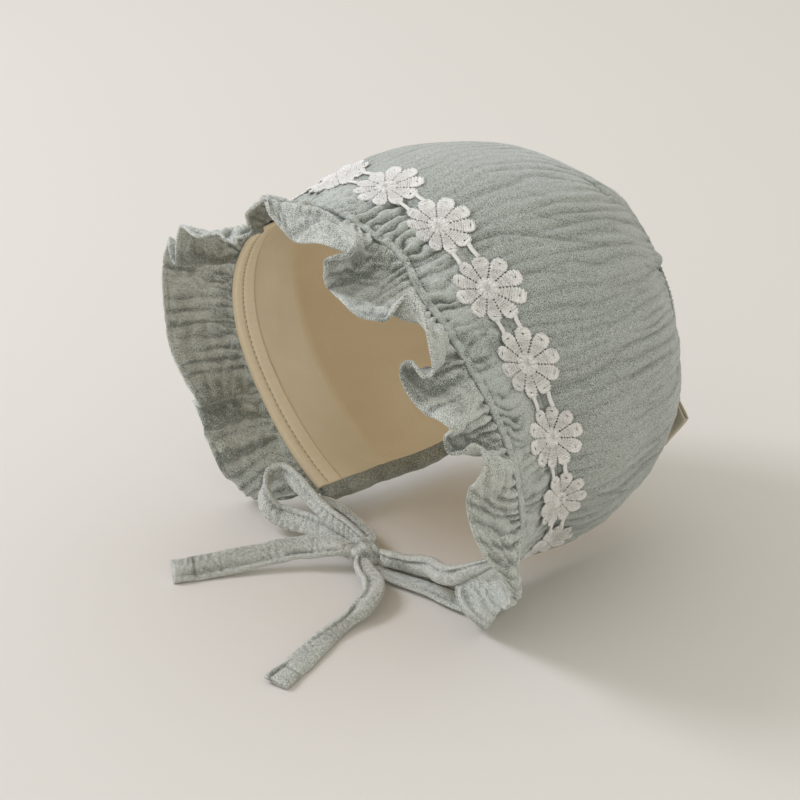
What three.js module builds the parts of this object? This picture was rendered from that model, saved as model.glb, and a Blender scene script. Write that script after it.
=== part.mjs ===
// A baby's bonnet of crinkled double gauze: a gathered main panel, a round back panel, a front band
// with a frilled brim, a strip of daisy lace, a cream lining and ties in a bow. Millimetres, +Z up,
// the face looks along -Y. The origin is the point inside the top of the hat that bears on the head.
import * as THREE from 'three';
import { mergeVertices } from 'three/addons/utils/BufferGeometryUtils.js';

// ---- Driving dimensions --------------------------------------------------------------------------
const DEGREE = Math.PI / 180;
const RING_LIFT = 3; // the panels' front-to-back axis runs this far above the head's centre
const CROWN_CENTRE = new THREE.Vector3(0, 4, RING_LIFT); // the ball that the main and back panels follow
const CROWN_LENGTH = 95; // lace line to back seam, about, over the main panel
const BACK_LENGTH = 50; // from the middle of the back panel to its edge, about
const BACK_MIDDLE = 75.6; // from the crown's centre to the middle of the back panel
const PANEL_END = 147; // the panels reach this far round from the top, to the neck edge
const NECK_TILT = 36; // the nape's edge, measured at the crown's centre from straight back

const SHELL = 1.6; // two layers of gauze
const LINING = 1.0;
const LINING_DEPTH = SHELL + 0.7; // the lining hangs a little clear of the outer cloth
const GAP = 0.3; // between neighbouring pieces

const BAND_WIDTH = 26; // lace line to frill seam
const RIDGE_WIDTH = 3.4; // the edge-stitched fold beside the frill seam
const RIDGE_HEIGHT = 0.6;
const FACING_WIDTH = 9; // the turned-in strip inside the front edge
const FRILL_WIDTH = 26;
const FRILL_WALL = 1.2;
const FRILL_SWELL = 0.25; // how much of a fold's lift its middle has

const DAISY_PITCH = 27.9;
const DAISY_RADIUS = 12.4;
const DAISY_COUNT = 13;
const LACE_BRIDGE = 4.5; // half width of the lace between two daisies
const LACE_WALL = 1.0;
const LACE_END = 0.94; // the end daisies are trimmed at this share of their radius

const BINDING_DEPTH = 5;
const BINDING_WALL = 4.4;

const TIE_SIDES = 8;
const TIE_STEP = 9;
const FLOOR = -71; // what the head and the ends of the ties rest on, from the head's centre

// Sections round the head, the same on both sides. `at` is the angle from the top, in degrees. The
// frill seam and the lace line are given by their distance from the axis and their place along it.
// `backTilt` is the back seam's angle at the crown's centre from straight back, and `backRadius` its
// distance from there.
const SECTIONS = [
  { at: 0, seamRadius: 69.5, seamY: -53, laceRadius: 73, laceY: -31, backTilt: 42, backRadius: 78.5 },
  { at: 30, seamRadius: 67.5, seamY: -53, laceRadius: 73, laceY: -30, backTilt: 41, backRadius: 78.5 },
  { at: 60, seamRadius: 72.5, seamY: -49.5, laceRadius: 73, laceY: -26.5, backTilt: 39, backRadius: 77 },
  { at: 90, seamRadius: 79, seamY: -42, laceRadius: 73, laceY: -18.5, backTilt: 36, backRadius: 77 },
  { at: 120, seamRadius: 81, seamY: -33.5, laceRadius: 74.5, laceY: -9, backTilt: 34, backRadius: 77.6 },
  { at: 147, seamRadius: 75, seamY: -32.5, laceRadius: 75.5, laceY: -1.5, backTilt: 38, backRadius: 80 },
];
const SEAM_PULL = { at: 24, most: 4.5, spread: 10 }; // gathers draw the frill seam back beside the top

// How far the main panel stands out from an even curve between the lace line (across 0) and the back
// seam (across 1): over the top of the head, where it is drawn tight, and at the sides.
const CROWN_PUFF = [
  { across: 0, top: 0, side: 0 },
  { across: 0.25, top: -2.2, side: 1.7 },
  { across: 0.47, top: -4, side: 1.3 },
  { across: 0.68, top: -2.9, side: 2.6 },
  { across: 0.88, top: -1.5, side: 2.5 },
  { across: 1, top: 0, side: 0 },
];
const TOP_END = 60; // the top's profile passes into the sides' between these angles
const SIDE_START = 115;
// The same for the back panel, from its middle (across 0) to the back seam.
const BACK_PUFF = [
  { across: 0, puff: 0 },
  { across: 0.5, puff: 1.6 },
  { across: 0.85, puff: 1.2 },
  { across: 1, puff: 0 },
];

// The frill's hem, a few rows to each fold. `at` is where the row leaves the seam, `lift` turns the
// cloth out from straight ahead, `lean` turns it along the seam towards the wearer's left, and `reach`
// is how far from the seam the hem gets, as a share of the frill's width. The middle of the cloth is
// moved out by `puff`, ahead by `curl` and along the seam by `sway`, all shares of that width too.
const FOLDS = [
  { at: -147, lift: 70, lean: 40, reach: 1, puff: 0, curl: 0, sway: 0 },
  { at: -142, lift: 62, lean: 29, reach: 1, puff: 0, curl: 0, sway: 0 },
  { at: -138, lift: 55, lean: 19, reach: 1, puff: 0, curl: 0, sway: 0 },
  { at: -133, lift: 43, lean: 12, reach: 1, puff: 0.1, curl: 0, sway: 0 },
  { at: -130, lift: 25, lean: 8, reach: 1, puff: 0.2, curl: 0, sway: 0 },
  { at: -127, lift: 12, lean: 8, reach: 1, puff: 0.1, curl: 0, sway: 0 },
  { at: -122, lift: 6, lean: 14, reach: 1, puff: 0.1, curl: 0, sway: 0 },
  { at: -119, lift: -4, lean: 13, reach: 1, puff: -0.15, curl: 0, sway: 0 },
  { at: -115, lift: 4, lean: 22, reach: 1, puff: 0.15, curl: 0, sway: 0 },
  { at: -112, lift: -19, lean: 10, reach: 1, puff: -0.15, curl: 0, sway: 0 },
  { at: -107, lift: -9, lean: 15, reach: 1, puff: 0.1, curl: 0, sway: 0 },
  { at: -99, lift: 6, lean: 13, reach: 1, puff: 0.1, curl: 0, sway: 0 },
  { at: -90, lift: 5, lean: 11, reach: 1, puff: 0.12, curl: 0, sway: 0 },
  { at: -82, lift: 11, lean: 13, reach: 1, puff: 0.15, curl: 0, sway: 0 },
  { at: -75, lift: 18, lean: 14, reach: 1, puff: 0.15, curl: 0, sway: 0 },
  { at: -68, lift: 31, lean: 19, reach: 1, puff: 0.2, curl: 0, sway: 0 },
  { at: -64, lift: 4, lean: 12, reach: 1, puff: -0.2, curl: 0, sway: 0 },
  { at: -60, lift: 27, lean: 24, reach: 1, puff: 0.15, curl: 0, sway: 0 },
  { at: -54, lift: 6, lean: 27, reach: 1, puff: 0.1, curl: 0, sway: 0 },
  { at: -49, lift: 5, lean: 36, reach: 1, puff: 0.1, curl: 0, sway: 0 },
  { at: -44, lift: -12, lean: 38, reach: 1, puff: 0.2, curl: 0, sway: 0 },
  { at: -40, lift: -1, lean: 38, reach: 1, puff: -0.1, curl: 0, sway: 0 },
  { at: -37, lift: 0, lean: 46, reach: 1, puff: 0.05, curl: 0, sway: 0 },
  { at: -33, lift: 20, lean: 43, reach: 1, puff: 0.1, curl: 0, sway: 0 },
  { at: -28, lift: 28, lean: 43, reach: 1, puff: 0.25, curl: 0, sway: 0 },
  { at: -22, lift: 31, lean: 40, reach: 1, puff: 0.42, curl: 0, sway: 0 },
  { at: -15, lift: 8, lean: 34, reach: 1, puff: 0.5, curl: 0, sway: 0 },
  { at: -8, lift: -4, lean: 33, reach: 1, puff: 0.48, curl: 0, sway: 0 },
  { at: 0, lift: 8, lean: 41, reach: 1, puff: 0.4, curl: 0, sway: 0.05 },
  { at: 6, lift: 21, lean: 44, reach: 1, puff: 0.36, curl: 0, sway: 0.2 },
  { at: 9, lift: 25, lean: 38, reach: 1, puff: 0.42, curl: 0, sway: 0.32 },
  { at: 12, lift: 22, lean: 15, reach: 1, puff: 0.36, curl: 0, sway: 0.42 },
  { at: 16, lift: 18, lean: -5, reach: 1, puff: -0.1, curl: 0, sway: 0.12 },
  { at: 20, lift: 5, lean: -13, reach: 1, puff: -0.35, curl: 0, sway: -0.08 },
  { at: 24, lift: -6, lean: -7, reach: 1, puff: -0.35, curl: 0, sway: 0 },
  { at: 28, lift: 3, lean: 15, reach: 1, puff: -0.25, curl: 0, sway: 0 },
  { at: 32, lift: 10, lean: 26, reach: 1, puff: -0.15, curl: 0.08, sway: 0 },
  { at: 35, lift: 22, lean: 30, reach: 1, puff: 0, curl: 0.2, sway: 0 },
  { at: 37, lift: 33, lean: 28, reach: 1, puff: 0.1, curl: 0.35, sway: 0 },
  { at: 40, lift: 61, lean: 10, reach: 1, puff: -0.1, curl: 0.45, sway: 0 },
  { at: 42, lift: 60, lean: 16, reach: 1, puff: 0, curl: 0.36, sway: 0 },
  { at: 44, lift: 55, lean: 17, reach: 1, puff: 0.15, curl: 0.15, sway: 0 },
  { at: 47, lift: 44, lean: 22, reach: 1, puff: 0.3, curl: -0.05, sway: 0 },
  { at: 51, lift: 33, lean: 25, reach: 1, puff: 0.35, curl: -0.05, sway: 0.1 },
  { at: 54, lift: 25, lean: 14, reach: 1, puff: 0.1, curl: 0.1, sway: 0.25 },
  { at: 56, lift: 25, lean: -4, reach: 1, puff: -0.25, curl: 0.25, sway: 0.22 },
  { at: 58, lift: 13, lean: -15, reach: 1, puff: -0.35, curl: 0.1, sway: 0.05 },
  { at: 60, lift: 5, lean: -17, reach: 1, puff: -0.35, curl: 0, sway: 0 },
  { at: 64, lift: 1, lean: -12, reach: 1, puff: -0.2, curl: 0, sway: 0 },
  { at: 67, lift: 2, lean: -10, reach: 1, puff: 0.1, curl: 0, sway: 0 },
  { at: 73, lift: 16, lean: -11, reach: 1, puff: 0.25, curl: 0.15, sway: 0 },
  { at: 76, lift: 5, lean: -15, reach: 1, puff: 0, curl: 0.3, sway: 0 },
  { at: 79, lift: 3, lean: -13, reach: 1, puff: -0.2, curl: 0.1, sway: 0 },
  { at: 82, lift: 9, lean: -23, reach: 1, puff: -0.2, curl: 0, sway: 0 },
  { at: 85, lift: 15, lean: -38, reach: 1, puff: 0.2, curl: 0, sway: 0 },
  { at: 88, lift: 17, lean: -40, reach: 1, puff: 0.35, curl: 0, sway: 0 },
  { at: 91, lift: 13, lean: -42, reach: 1, puff: 0.35, curl: 0, sway: 0 },
  { at: 94, lift: 3, lean: -42, reach: 1, puff: 0.2, curl: 0, sway: 0 },
  { at: 98, lift: -14, lean: -42, reach: 1, puff: 0, curl: 0, sway: 0 },
  { at: 102, lift: -22, lean: -39, reach: 1, puff: 0.05, curl: 0, sway: 0 },
  { at: 107, lift: -14, lean: -34, reach: 1, puff: 0.2, curl: 0, sway: 0 },
  { at: 112, lift: -5, lean: -35, reach: 1, puff: 0.4, curl: 0, sway: 0 },
  { at: 117, lift: 5, lean: -39, reach: 1, puff: 0.55, curl: 0, sway: 0 },
  { at: 121, lift: 13, lean: -43, reach: 1, puff: 0.6, curl: 0, sway: 0 },
  { at: 125, lift: 22, lean: -48, reach: 1, puff: 0.6, curl: -0.15, sway: 0 },
  { at: 130, lift: 31, lean: -51, reach: 1, puff: 0.5, curl: -0.25, sway: 0 },
  { at: 138, lift: 38, lean: -56, reach: 0.98, puff: 0.2, curl: -0.1, sway: 0 },
  { at: 143, lift: 60, lean: -49, reach: 0.9, puff: 0, curl: 0, sway: 0 },
  { at: 147, lift: 83, lean: -39, reach: 0.83, puff: 0, curl: 0, sway: 0 },
];

const LABEL = { at: 124, width: 18, length: 15, wall: 1.4, lean: 68, lift: 0.8 };

// The bow lies under the chin, on what the head rests on. A tie is a flat tube, rolled up where it
// runs from the neck to the knot. `tilt` turns its width from level (0) to upright (90).
const KNOT = { centre: [-2, -40.5, -65], size: [16, 10, 10], turn: 8 };
const TIES = [
  {
    name: 'tie_right_strap',
    width: 7,
    wall: 4.2,
    tilt: 90,
    points: [
      [36.8, -35.3, -61.6], [32, -33.5, -61.6], [25, -31.5, -62.6], [16, -32.8, -64.6], [8.4, -36.6, -64.6],
    ],
  },
  {
    name: 'tie_left_strap',
    width: 7,
    wall: 4.5,
    tilt: 90,
    points: [
      [-37.2, -35.5, -61.6], [-31, -33, -61.8], [-22, -31.5, -64], [-14, -31.2, -65.8], [-7.5, -32.4, -66.4],
    ],
  },
  {
    name: 'tie_right_loop',
    width: 8.5,
    wall: 2,
    tilt: 0,
    points: [
      [7.5, -41, -68.2], [15, -38.4, -69.2], [25, -35, -69.3], [36, -32.6, -69.2], [45, -30.5, -69],
      [50, -25.5, -69], [45.5, -21, -69.4], [36, -21.3, -69.6], [24, -24.2, -69.6], [14, -28.6, -69.6],
      [6, -32.6, -69.2],
    ],
  },
  {
    name: 'tie_left_loop',
    width: 8.4,
    wall: 2.4,
    tilt: 90,
    points: [
      [-11, -39.4, -61], [-20.2, -41.4, -58.5], [-30.7, -42, -55.5], [-41.5, -41.6, -52.5], [-49, -42, -51],
      [-51.6, -46, -52], [-50.4, -49.8, -55], [-47.4, -51.5, -59], [-43.6, -51, -62.4], [-38, -48, -63.8],
      [-31, -45, -64], [-22, -43.2, -64.2], [-11.4, -42.2, -65],
    ],
  },
  {
    name: 'tie_left_tail',
    width: 8.5,
    wall: 3,
    tilt: -35,
    points: [
      [-7.5, -47.4, -62.8], [-13, -53, -62.9], [-18.9, -60, -63.7], [-26.6, -74, -65.9], [-34, -90.8, -67.2],
      [-38.3, -100.6, -67.3],
    ],
  },
  {
    name: 'tie_right_tail',
    width: 8.5,
    wall: 3.2,
    tilt: 0,
    points: [
      [6.4, -49, -65.6], [10.5, -49.6, -65.4], [15.5, -50.6, -65.4], [21.4, -55.4, -65.8], [25, -63.2, -66.8],
      [27.4, -74, -68.4], [32, -89, -69.2], [37.6, -102.6, -69.2], [41, -113, -69.2],
    ],
  },
];

// ---- Interpolation -------------------------------------------------------------------------------

/** A smooth value at `x` from the rows of a table: cubic between rows, slopes from the neighbours. */
function fromTable(rows, key, column, x) {
  const last = rows.length - 1;
  const clamped = Math.min(Math.max(x, rows[0][key]), rows[last][key]);
  let i = 0;
  while (i < last - 1 && clamped > rows[i + 1][key]) i += 1;
  const slope = (j) => {
    const before = rows[Math.max(j - 1, 0)];
    const after = rows[Math.min(j + 1, last)];
    return (after[column] - before[column]) / (after[key] - before[key]);
  };
  const span = rows[i + 1][key] - rows[i][key];
  const t = (clamped - rows[i][key]) / span;
  const t2 = t * t;
  const t3 = t2 * t;
  return (2 * t3 - 3 * t2 + 1) * rows[i][column] + (t3 - 2 * t2 + t) * span * slope(i)
    + (3 * t2 - 2 * t3) * rows[i + 1][column] + (t3 - t2) * span * slope(i + 1);
}

/** The sections mirrored about the top, so that slopes there are level. */
const ROUND = [
  ...SECTIONS.slice(1).reverse().map((row) => ({ ...row, at: -row.at })),
  ...SECTIONS,
];

const section = (column, angle) => fromTable(ROUND, 'at', column, angle);

// ---- The hat's surfaces --------------------------------------------------------------------------

/** A point `radius` from the front-to-back axis, `angle` degrees round from the top. */
function onRing(angle, radius, y) {
  const turn = angle * DEGREE;
  return new THREE.Vector3(radius * Math.sin(turn), y, radius * Math.cos(turn) + RING_LIFT);
}

function seamPoint(angle) {
  const drawn = SEAM_PULL.most * Math.exp(-(((angle - SEAM_PULL.at) / SEAM_PULL.spread) ** 2));
  return onRing(angle, section('seamRadius', angle), section('seamY', angle) + drawn);
}
const lacePoint = (angle) => onRing(angle, section('laceRadius', angle), section('laceY', angle));

/** A point at `tilt` degrees from straight back and `radius` from the crown's centre. */
function onCrownBall(angle, tilt, radius) {
  const turn = angle * DEGREE;
  const lean = tilt * DEGREE;
  const out = Math.sin(lean);
  const direction = new THREE.Vector3(out * Math.sin(turn), Math.cos(lean), out * Math.cos(turn));
  return direction.multiplyScalar(radius).add(CROWN_CENTRE);
}

/** The main panel's outside: `across` runs from the lace line (0) to the back seam (1). */
function crownSurface(angle, across) {
  const rho = section('laceRadius', angle);
  const along = section('laceY', angle) - CROWN_CENTRE.y;
  const laceTilt = Math.atan2(rho, along) / DEGREE;
  const tilt = THREE.MathUtils.lerp(laceTilt, section('backTilt', angle), across);
  const base = THREE.MathUtils.lerp(Math.hypot(rho, along), section('backRadius', angle), across);
  const sideShare = THREE.MathUtils.smoothstep(Math.abs(angle), TOP_END, SIDE_START);
  const top = fromTable(CROWN_PUFF, 'across', 'top', across);
  const side = fromTable(CROWN_PUFF, 'across', 'side', across);
  return onCrownBall(angle, tilt, base + THREE.MathUtils.lerp(top, side, sideShare));
}

/** The back panel's edge all the way round: the back seam, then the nape under the neck. */
function backEdgeTilt(angle) {
  const side = Math.abs(angle);
  if (side <= PANEL_END) return section('backTilt', angle);
  const t = (side - PANEL_END) / (180 - PANEL_END);
  return THREE.MathUtils.lerp(section('backTilt', PANEL_END), NECK_TILT, t * (2 - t));
}

/** The back panel's outside: `across` runs from its middle (0) to its edge (1). */
function backSurface(angle, across) {
  const puff = fromTable(BACK_PUFF, 'across', 'puff', across);
  const base = THREE.MathUtils.lerp(BACK_MIDDLE, section('backRadius', angle), across * across);
  return onCrownBall(angle, backEdgeTilt(angle) * across, base + puff);
}

/** The front band's outside: `across` runs from the lace line (0) to the frill seam (1). */
function bandSurface(angle, across) {
  return lacePoint(angle).lerp(seamPoint(angle), across);
}

/** The point of a surface moved along its outward normal by `out`. */
function offsetPoint(surface, angle, across, out) {
  const point = surface(angle, across);
  if (out === 0) return point;
  const step = 1e-3;
  const back = across > 0.5 ? step : 0;
  const along = surface(angle + 1, across).sub(surface(angle - 1, across));
  const over = surface(angle, across + step - back).sub(surface(angle, across - back));
  const normal = along.length() < 1e-6
    ? point.clone().sub(CROWN_CENTRE).normalize()
    : along.cross(over).normalize();
  const side = Math.sign(normal.dot(point.clone().sub(CROWN_CENTRE)));
  return point.add(normal.multiplyScalar(side * out));
}

/** The directions at the frill seam: straight ahead, outwards and along the seam. */
function seamFrame(angle) {
  const start = seamPoint(angle);
  const along = seamPoint(angle + 0.05).sub(seamPoint(angle - 0.05)).normalize();
  const ahead = start.clone().sub(lacePoint(angle));
  ahead.addScaledVector(along, -ahead.dot(along)).normalize();
  const out = along.clone().cross(ahead);
  const radial = onRing(angle, 1, 0).sub(onRing(angle, 0, 0));
  out.multiplyScalar(Math.sign(out.dot(radial)));
  return { start, along, ahead, out };
}

/** The frill's middle surface: `down` runs from the seam (0) to the hem (1) on an easy curve. */
function frillSurface(angle, down) {
  const { start, along, ahead, out } = seamFrame(angle);
  const lift = fromTable(FOLDS, 'at', 'lift', angle) * DEGREE;
  const lean = fromTable(FOLDS, 'at', 'lean', angle) * DEGREE;
  const reach = fromTable(FOLDS, 'at', 'reach', angle) * FRILL_WIDTH;
  const puff = fromTable(FOLDS, 'at', 'puff', angle);
  const curl = fromTable(FOLDS, 'at', 'curl', angle);
  const sway = fromTable(FOLDS, 'at', 'sway', angle);
  const hem = start.clone()
    .addScaledVector(ahead, reach * Math.cos(lean) * Math.cos(lift))
    .addScaledVector(out, reach * Math.cos(lean) * Math.sin(lift))
    .addScaledVector(along, reach * Math.sin(lean));
  hem.z = Math.max(hem.z, FLOOR + FRILL_WALL);
  const bend = start.clone()
    .addScaledVector(ahead, FRILL_WIDTH * (0.42 + curl))
    .addScaledVector(along, FRILL_WIDTH * (0.35 * Math.sin(lean) + sway))
    .addScaledVector(out, FRILL_WIDTH * (FRILL_SWELL * Math.sin(lift) + puff));
  return start.multiplyScalar((1 - down) ** 2)
    .addScaledVector(bend, 2 * down * (1 - down))
    .addScaledVector(hem, down * down);
}

// ---- Closed bodies -------------------------------------------------------------------------------

/** Turns point grids into one closed body, dropping the triangles that a shared point collapses. */
function bodyFrom(positions, triangles) {
  const raw = new THREE.BufferGeometry();
  raw.setAttribute('position', new THREE.Float32BufferAttribute(positions.flatMap((p) => p.toArray()), 3));
  raw.setIndex(triangles.flat());
  const merged = mergeVertices(raw, 1e-3);
  const index = merged.index.array;
  const kept = [];
  for (let i = 0; i < index.length; i += 3) {
    const [a, b, c] = [index[i], index[i + 1], index[i + 2]];
    if (a !== b && b !== c && c !== a) kept.push(a, b, c);
  }
  if (signedVolume(merged.attributes.position, kept) < 0) kept.reverse();
  merged.setIndex(kept);
  merged.computeVertexNormals();
  return merged;
}

function signedVolume(position, index) {
  const corner = [0, 1, 2].map(() => new THREE.Vector3());
  let sum = 0;
  for (let i = 0; i < index.length; i += 3) {
    corner.forEach((point, k) => point.fromBufferAttribute(position, index[i + k]));
    sum += corner[0].dot(corner[1].clone().cross(corner[2])) / 6;
  }
  return sum;
}

/** A closed wall between two faces, each a function of (u, v) from 0 to 1. */
function wall(columns, rows, faceA, faceB, { round = false } = {}) {
  const points = [];
  for (const face of [faceA, faceB]) {
    for (let i = 0; i <= columns; i += 1) {
      for (let j = 0; j <= rows; j += 1) points.push(face(i / columns, j / rows));
    }
  }
  const at = (side, i, j) => (side * (columns + 1) + i) * (rows + 1) + j;
  const triangles = [];
  const quad = (a, b, c, d) => triangles.push([a, b, c], [a, c, d]);
  for (let i = 0; i < columns; i += 1) {
    for (let j = 0; j < rows; j += 1) {
      quad(at(0, i, j), at(0, i + 1, j), at(0, i + 1, j + 1), at(0, i, j + 1));
      quad(at(1, i, j), at(1, i, j + 1), at(1, i + 1, j + 1), at(1, i + 1, j));
    }
    quad(at(0, i, 0), at(1, i, 0), at(1, i + 1, 0), at(0, i + 1, 0));
    quad(at(0, i, rows), at(0, i + 1, rows), at(1, i + 1, rows), at(1, i, rows));
  }
  for (let j = 0; j < rows && !round; j += 1) {
    quad(at(0, 0, j), at(0, 0, j + 1), at(1, 0, j + 1), at(1, 0, j));
    quad(at(0, columns, j), at(1, columns, j), at(1, columns, j + 1), at(0, columns, j + 1));
  }
  return bodyFrom(points, triangles);
}

/** A closed body swept through rings of points, one ring to each station, with flat ends. */
function sweep(rings) {
  const sides = rings[0].length;
  const triangles = [];
  rings.slice(1).forEach((_, k) => {
    for (let i = 0; i < sides; i += 1) {
      const a = k * sides + i;
      const b = k * sides + ((i + 1) % sides);
      triangles.push([a, b, b + sides], [a, b + sides, a + sides]);
    }
  });
  const top = (rings.length - 1) * sides;
  for (let i = 1; i < sides - 1; i += 1) {
    triangles.push([0, i + 1, i], [top, top + i, top + i + 1]);
  }
  return bodyFrom(rings.flat(), triangles);
}

const cloth = (color, roughness = 0.95) => new THREE.MeshStandardMaterial({ color, roughness, metalness: 0 });

function piece(name, geometry, material) {
  const mesh = new THREE.Mesh(geometry, material);
  mesh.name = name;
  return mesh;
}

const turnAt = (u, end) => THREE.MathUtils.lerp(-end, end, u);

// ---- The pieces ----------------------------------------------------------------------------------

/** The gathered main panel, from the lace line back to the back seam. */
function crown() {
  const near = GAP / 2 / CROWN_LENGTH;
  const face = (out) => (u, v) => {
    const across = THREE.MathUtils.lerp(near, 1 - near, v);
    return offsetPoint(crownSurface, turnAt(u, PANEL_END), across, out);
  };
  return piece('crown', wall(46, 8, face(0), face(-SHELL)), cloth(0x9ba094));
}

/** The round back panel with its straighter nape. */
function back() {
  const rim = 1 - 2 * GAP / BACK_LENGTH;
  const face = (out) => (u, v) => offsetPoint(backSurface, turnAt(u, 180), v * rim, out);
  return piece('back', wall(36, 5, face(0), face(-SHELL), { round: true }), cloth(0x9ba094));
}

/** The front band with the stitched ridge beside the frill seam. */
function frontBand() {
  const from = GAP / 2 / BAND_WIDTH;
  const ridge = 1 - RIDGE_WIDTH / BAND_WIDTH;
  const across = [from, 0.5, ridge, ridge + 0.02, 1];
  const lift = [0, 0, 0, RIDGE_HEIGHT, RIDGE_HEIGHT];
  const rows = across.length - 1;
  const outer = (u, v) => {
    const j = Math.round(v * rows);
    return offsetPoint(bandSurface, turnAt(u, PANEL_END), across[j], lift[j]);
  };
  const inner = (u, v) => {
    const j = Math.round(v * rows);
    return offsetPoint(bandSurface, turnAt(u, PANEL_END), across[j], -SHELL);
  };
  return piece('front_band', wall(48, rows, outer, inner), cloth(0x9ba094));
}

/** The gathered frill round the face. */
function frill() {
  const start = (GAP + FRILL_WALL / 2) / FRILL_WIDTH;
  const face = (side) => (u, v) => {
    const angle = turnAt(u, PANEL_END);
    const down = THREE.MathUtils.lerp(start, 1, v);
    const point = frillSurface(angle, down);
    const along = frillSurface(angle + 0.5, down).sub(frillSurface(angle - 0.5, down));
    const over = frillSurface(angle, down + 0.01).sub(frillSurface(angle, down - 0.01));
    return point.addScaledVector(along.cross(over).normalize(), side * FRILL_WALL / 2);
  };
  return piece('ruffle', wall(110, 4, face(1), face(-1)), cloth(0xa3a89c));
}

/** The cream lining of the main panel and the band, up to the facing. */
function lining() {
  const turned = 1 - (FACING_WIDTH + GAP) / BAND_WIDTH;
  const stations = [
    ...[turned, turned / 2, 0.02].map((across) => ({ surface: bandSurface, across })),
    ...[0.02, 0.2, 0.4, 0.6, 0.8, 0.97].map((across) => ({ surface: crownSurface, across })),
  ];
  const rows = stations.length - 1;
  const face = (out) => (u, v) => {
    const { surface, across } = stations[Math.round(v * rows)];
    return offsetPoint(surface, turnAt(u, PANEL_END - 0.4), across, out);
  };
  const body = wall(32, rows, face(-LINING_DEPTH), face(-LINING_DEPTH - LINING));
  return piece('lining', body, cloth(0xd9cdb6));
}

/** The cream lining of the back panel. */
function backLining() {
  const face = (out) => (u, v) => offsetPoint(backSurface, turnAt(u, 180), v * 0.96, out);
  const body = wall(28, 3, face(-LINING_DEPTH), face(-LINING_DEPTH - LINING), { round: true });
  return piece('back_lining', body, cloth(0xd9cdb6));
}

/** The cream strip stitched inside the front edge. */
function facing() {
  const from = 1 - FACING_WIDTH / BAND_WIDTH;
  const face = (out) => (u, v) => {
    const across = THREE.MathUtils.lerp(from, 1, v);
    return offsetPoint(bandSurface, turnAt(u, PANEL_END - 0.4), across, out);
  };
  const body = wall(32, 1, face(-LINING_DEPTH), face(-LINING_DEPTH - LINING));
  return piece('facing', body, cloth(0xd9cdb6));
}

/** How far round the lace line a point `along` millimetres from the top is, in degrees. */
function laceAngle(along) {
  const step = 0.5;
  let angle = 0;
  let left = Math.abs(along);
  let stride = lacePoint(step).distanceTo(lacePoint(0));
  while (left > stride) {
    left -= stride;
    angle += step;
    stride = lacePoint(angle + step).distanceTo(lacePoint(angle));
  }
  return Math.sign(along) * (angle + step * (left / stride));
}

/** How far the lace reaches from its centre line, `along` millimetres from the middle daisy. */
function laceReach(along) {
  const offset = along - DAISY_PITCH * Math.round(along / DAISY_PITCH);
  const daisy = Math.sqrt(Math.max(DAISY_RADIUS ** 2 - offset ** 2, 0));
  return Math.max(daisy, LACE_BRIDGE);
}

/** The strip of daisies over the join of the band and the main panel. */
function lace() {
  const half = (DAISY_COUNT - 1) / 2 * DAISY_PITCH + DAISY_RADIUS * LACE_END;
  const face = (out) => (u, v) => {
    const along = THREE.MathUtils.lerp(-half, half, u);
    const angle = laceAngle(along);
    const side = (v * 2 - 1) * laceReach(along);
    return side >= 0
      ? offsetPoint(bandSurface, angle, side / BAND_WIDTH, out)
      : offsetPoint(crownSurface, angle, -side / CROWN_LENGTH, out);
  };
  return piece('lace', wall(104, 2, face(GAP + LACE_WALL), face(GAP)), cloth(0xe9e6df));
}

/** The points of the neck edge in the middle of the walls, from the right front corner to the left. */
function neckEdge() {
  const depth = -(LINING_DEPTH + LINING) / 2;
  const side = [
    ...[1, 0.75, 0.5, 0.25, 0.05].map((across) => [bandSurface, PANEL_END, across]),
    ...[0.05, 0.17, 0.33, 0.5, 0.67, 0.83, 0.96].map((across) => [crownSurface, PANEL_END, across]),
  ];
  const nape = [151, 157, 164, 172].map((angle) => [backSurface, angle, 1]);
  const half = [...side, ...nape].map((place) => offsetPoint(...place, depth));
  const mirrored = half.map((p) => new THREE.Vector3(-p.x, p.y, p.z)).reverse();
  return [...half, offsetPoint(backSurface, 180, 1, depth), ...mirrored];
}

/** The folded strip that binds the neck edge. */
function neckBinding() {
  const edge = neckEdge();
  const corner = 0.7;
  const half = BINDING_WALL / 2;
  const outline = [
    [GAP, -half + corner], [GAP, half - corner], [GAP + corner, half], [GAP + BINDING_DEPTH - corner, half],
    [GAP + BINDING_DEPTH, half - corner], [GAP + BINDING_DEPTH, -half + corner],
    [GAP + BINDING_DEPTH - corner, -half], [GAP + corner, -half],
  ];
  const rings = edge.map((point, i) => {
    const along = edge[Math.min(i + 1, edge.length - 1)].clone().sub(edge[Math.max(i - 1, 0)]).normalize();
    const out = point.clone().sub(CROWN_CENTRE);
    out.addScaledVector(along, -out.dot(along)).normalize();
    const down = along.clone().cross(out);
    return outline.map(([below, beside]) => point.clone().addScaledVector(down, below)
      .addScaledVector(out, beside));
  });
  return piece('neck_binding', sweep(rings), cloth(0x9ba094));
}

/** The blank folded tab caught in the back seam behind the wearer's left ear. */
function label() {
  const seam = (angle) => {
    const radius = section('backRadius', angle) + LABEL.lift;
    return onCrownBall(angle, section('backTilt', angle), radius);
  };
  const root = seam(LABEL.at);
  const out = root.clone().sub(CROWN_CENTRE).normalize();
  const along = seam(LABEL.at + 1).sub(root).normalize();
  const flat = along.clone().cross(out).normalize();
  const box = new THREE.BoxGeometry(LABEL.width, LABEL.length, LABEL.wall);
  box.translate(0, LABEL.length / 2, 0);
  box.applyMatrix4(new THREE.Matrix4().makeRotationX(LABEL.lean * DEGREE));
  box.applyMatrix4(new THREE.Matrix4().makeBasis(along, out, flat));
  box.translate(...root.toArray());
  return piece('label', box, cloth(0xe3dccb));
}

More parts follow.
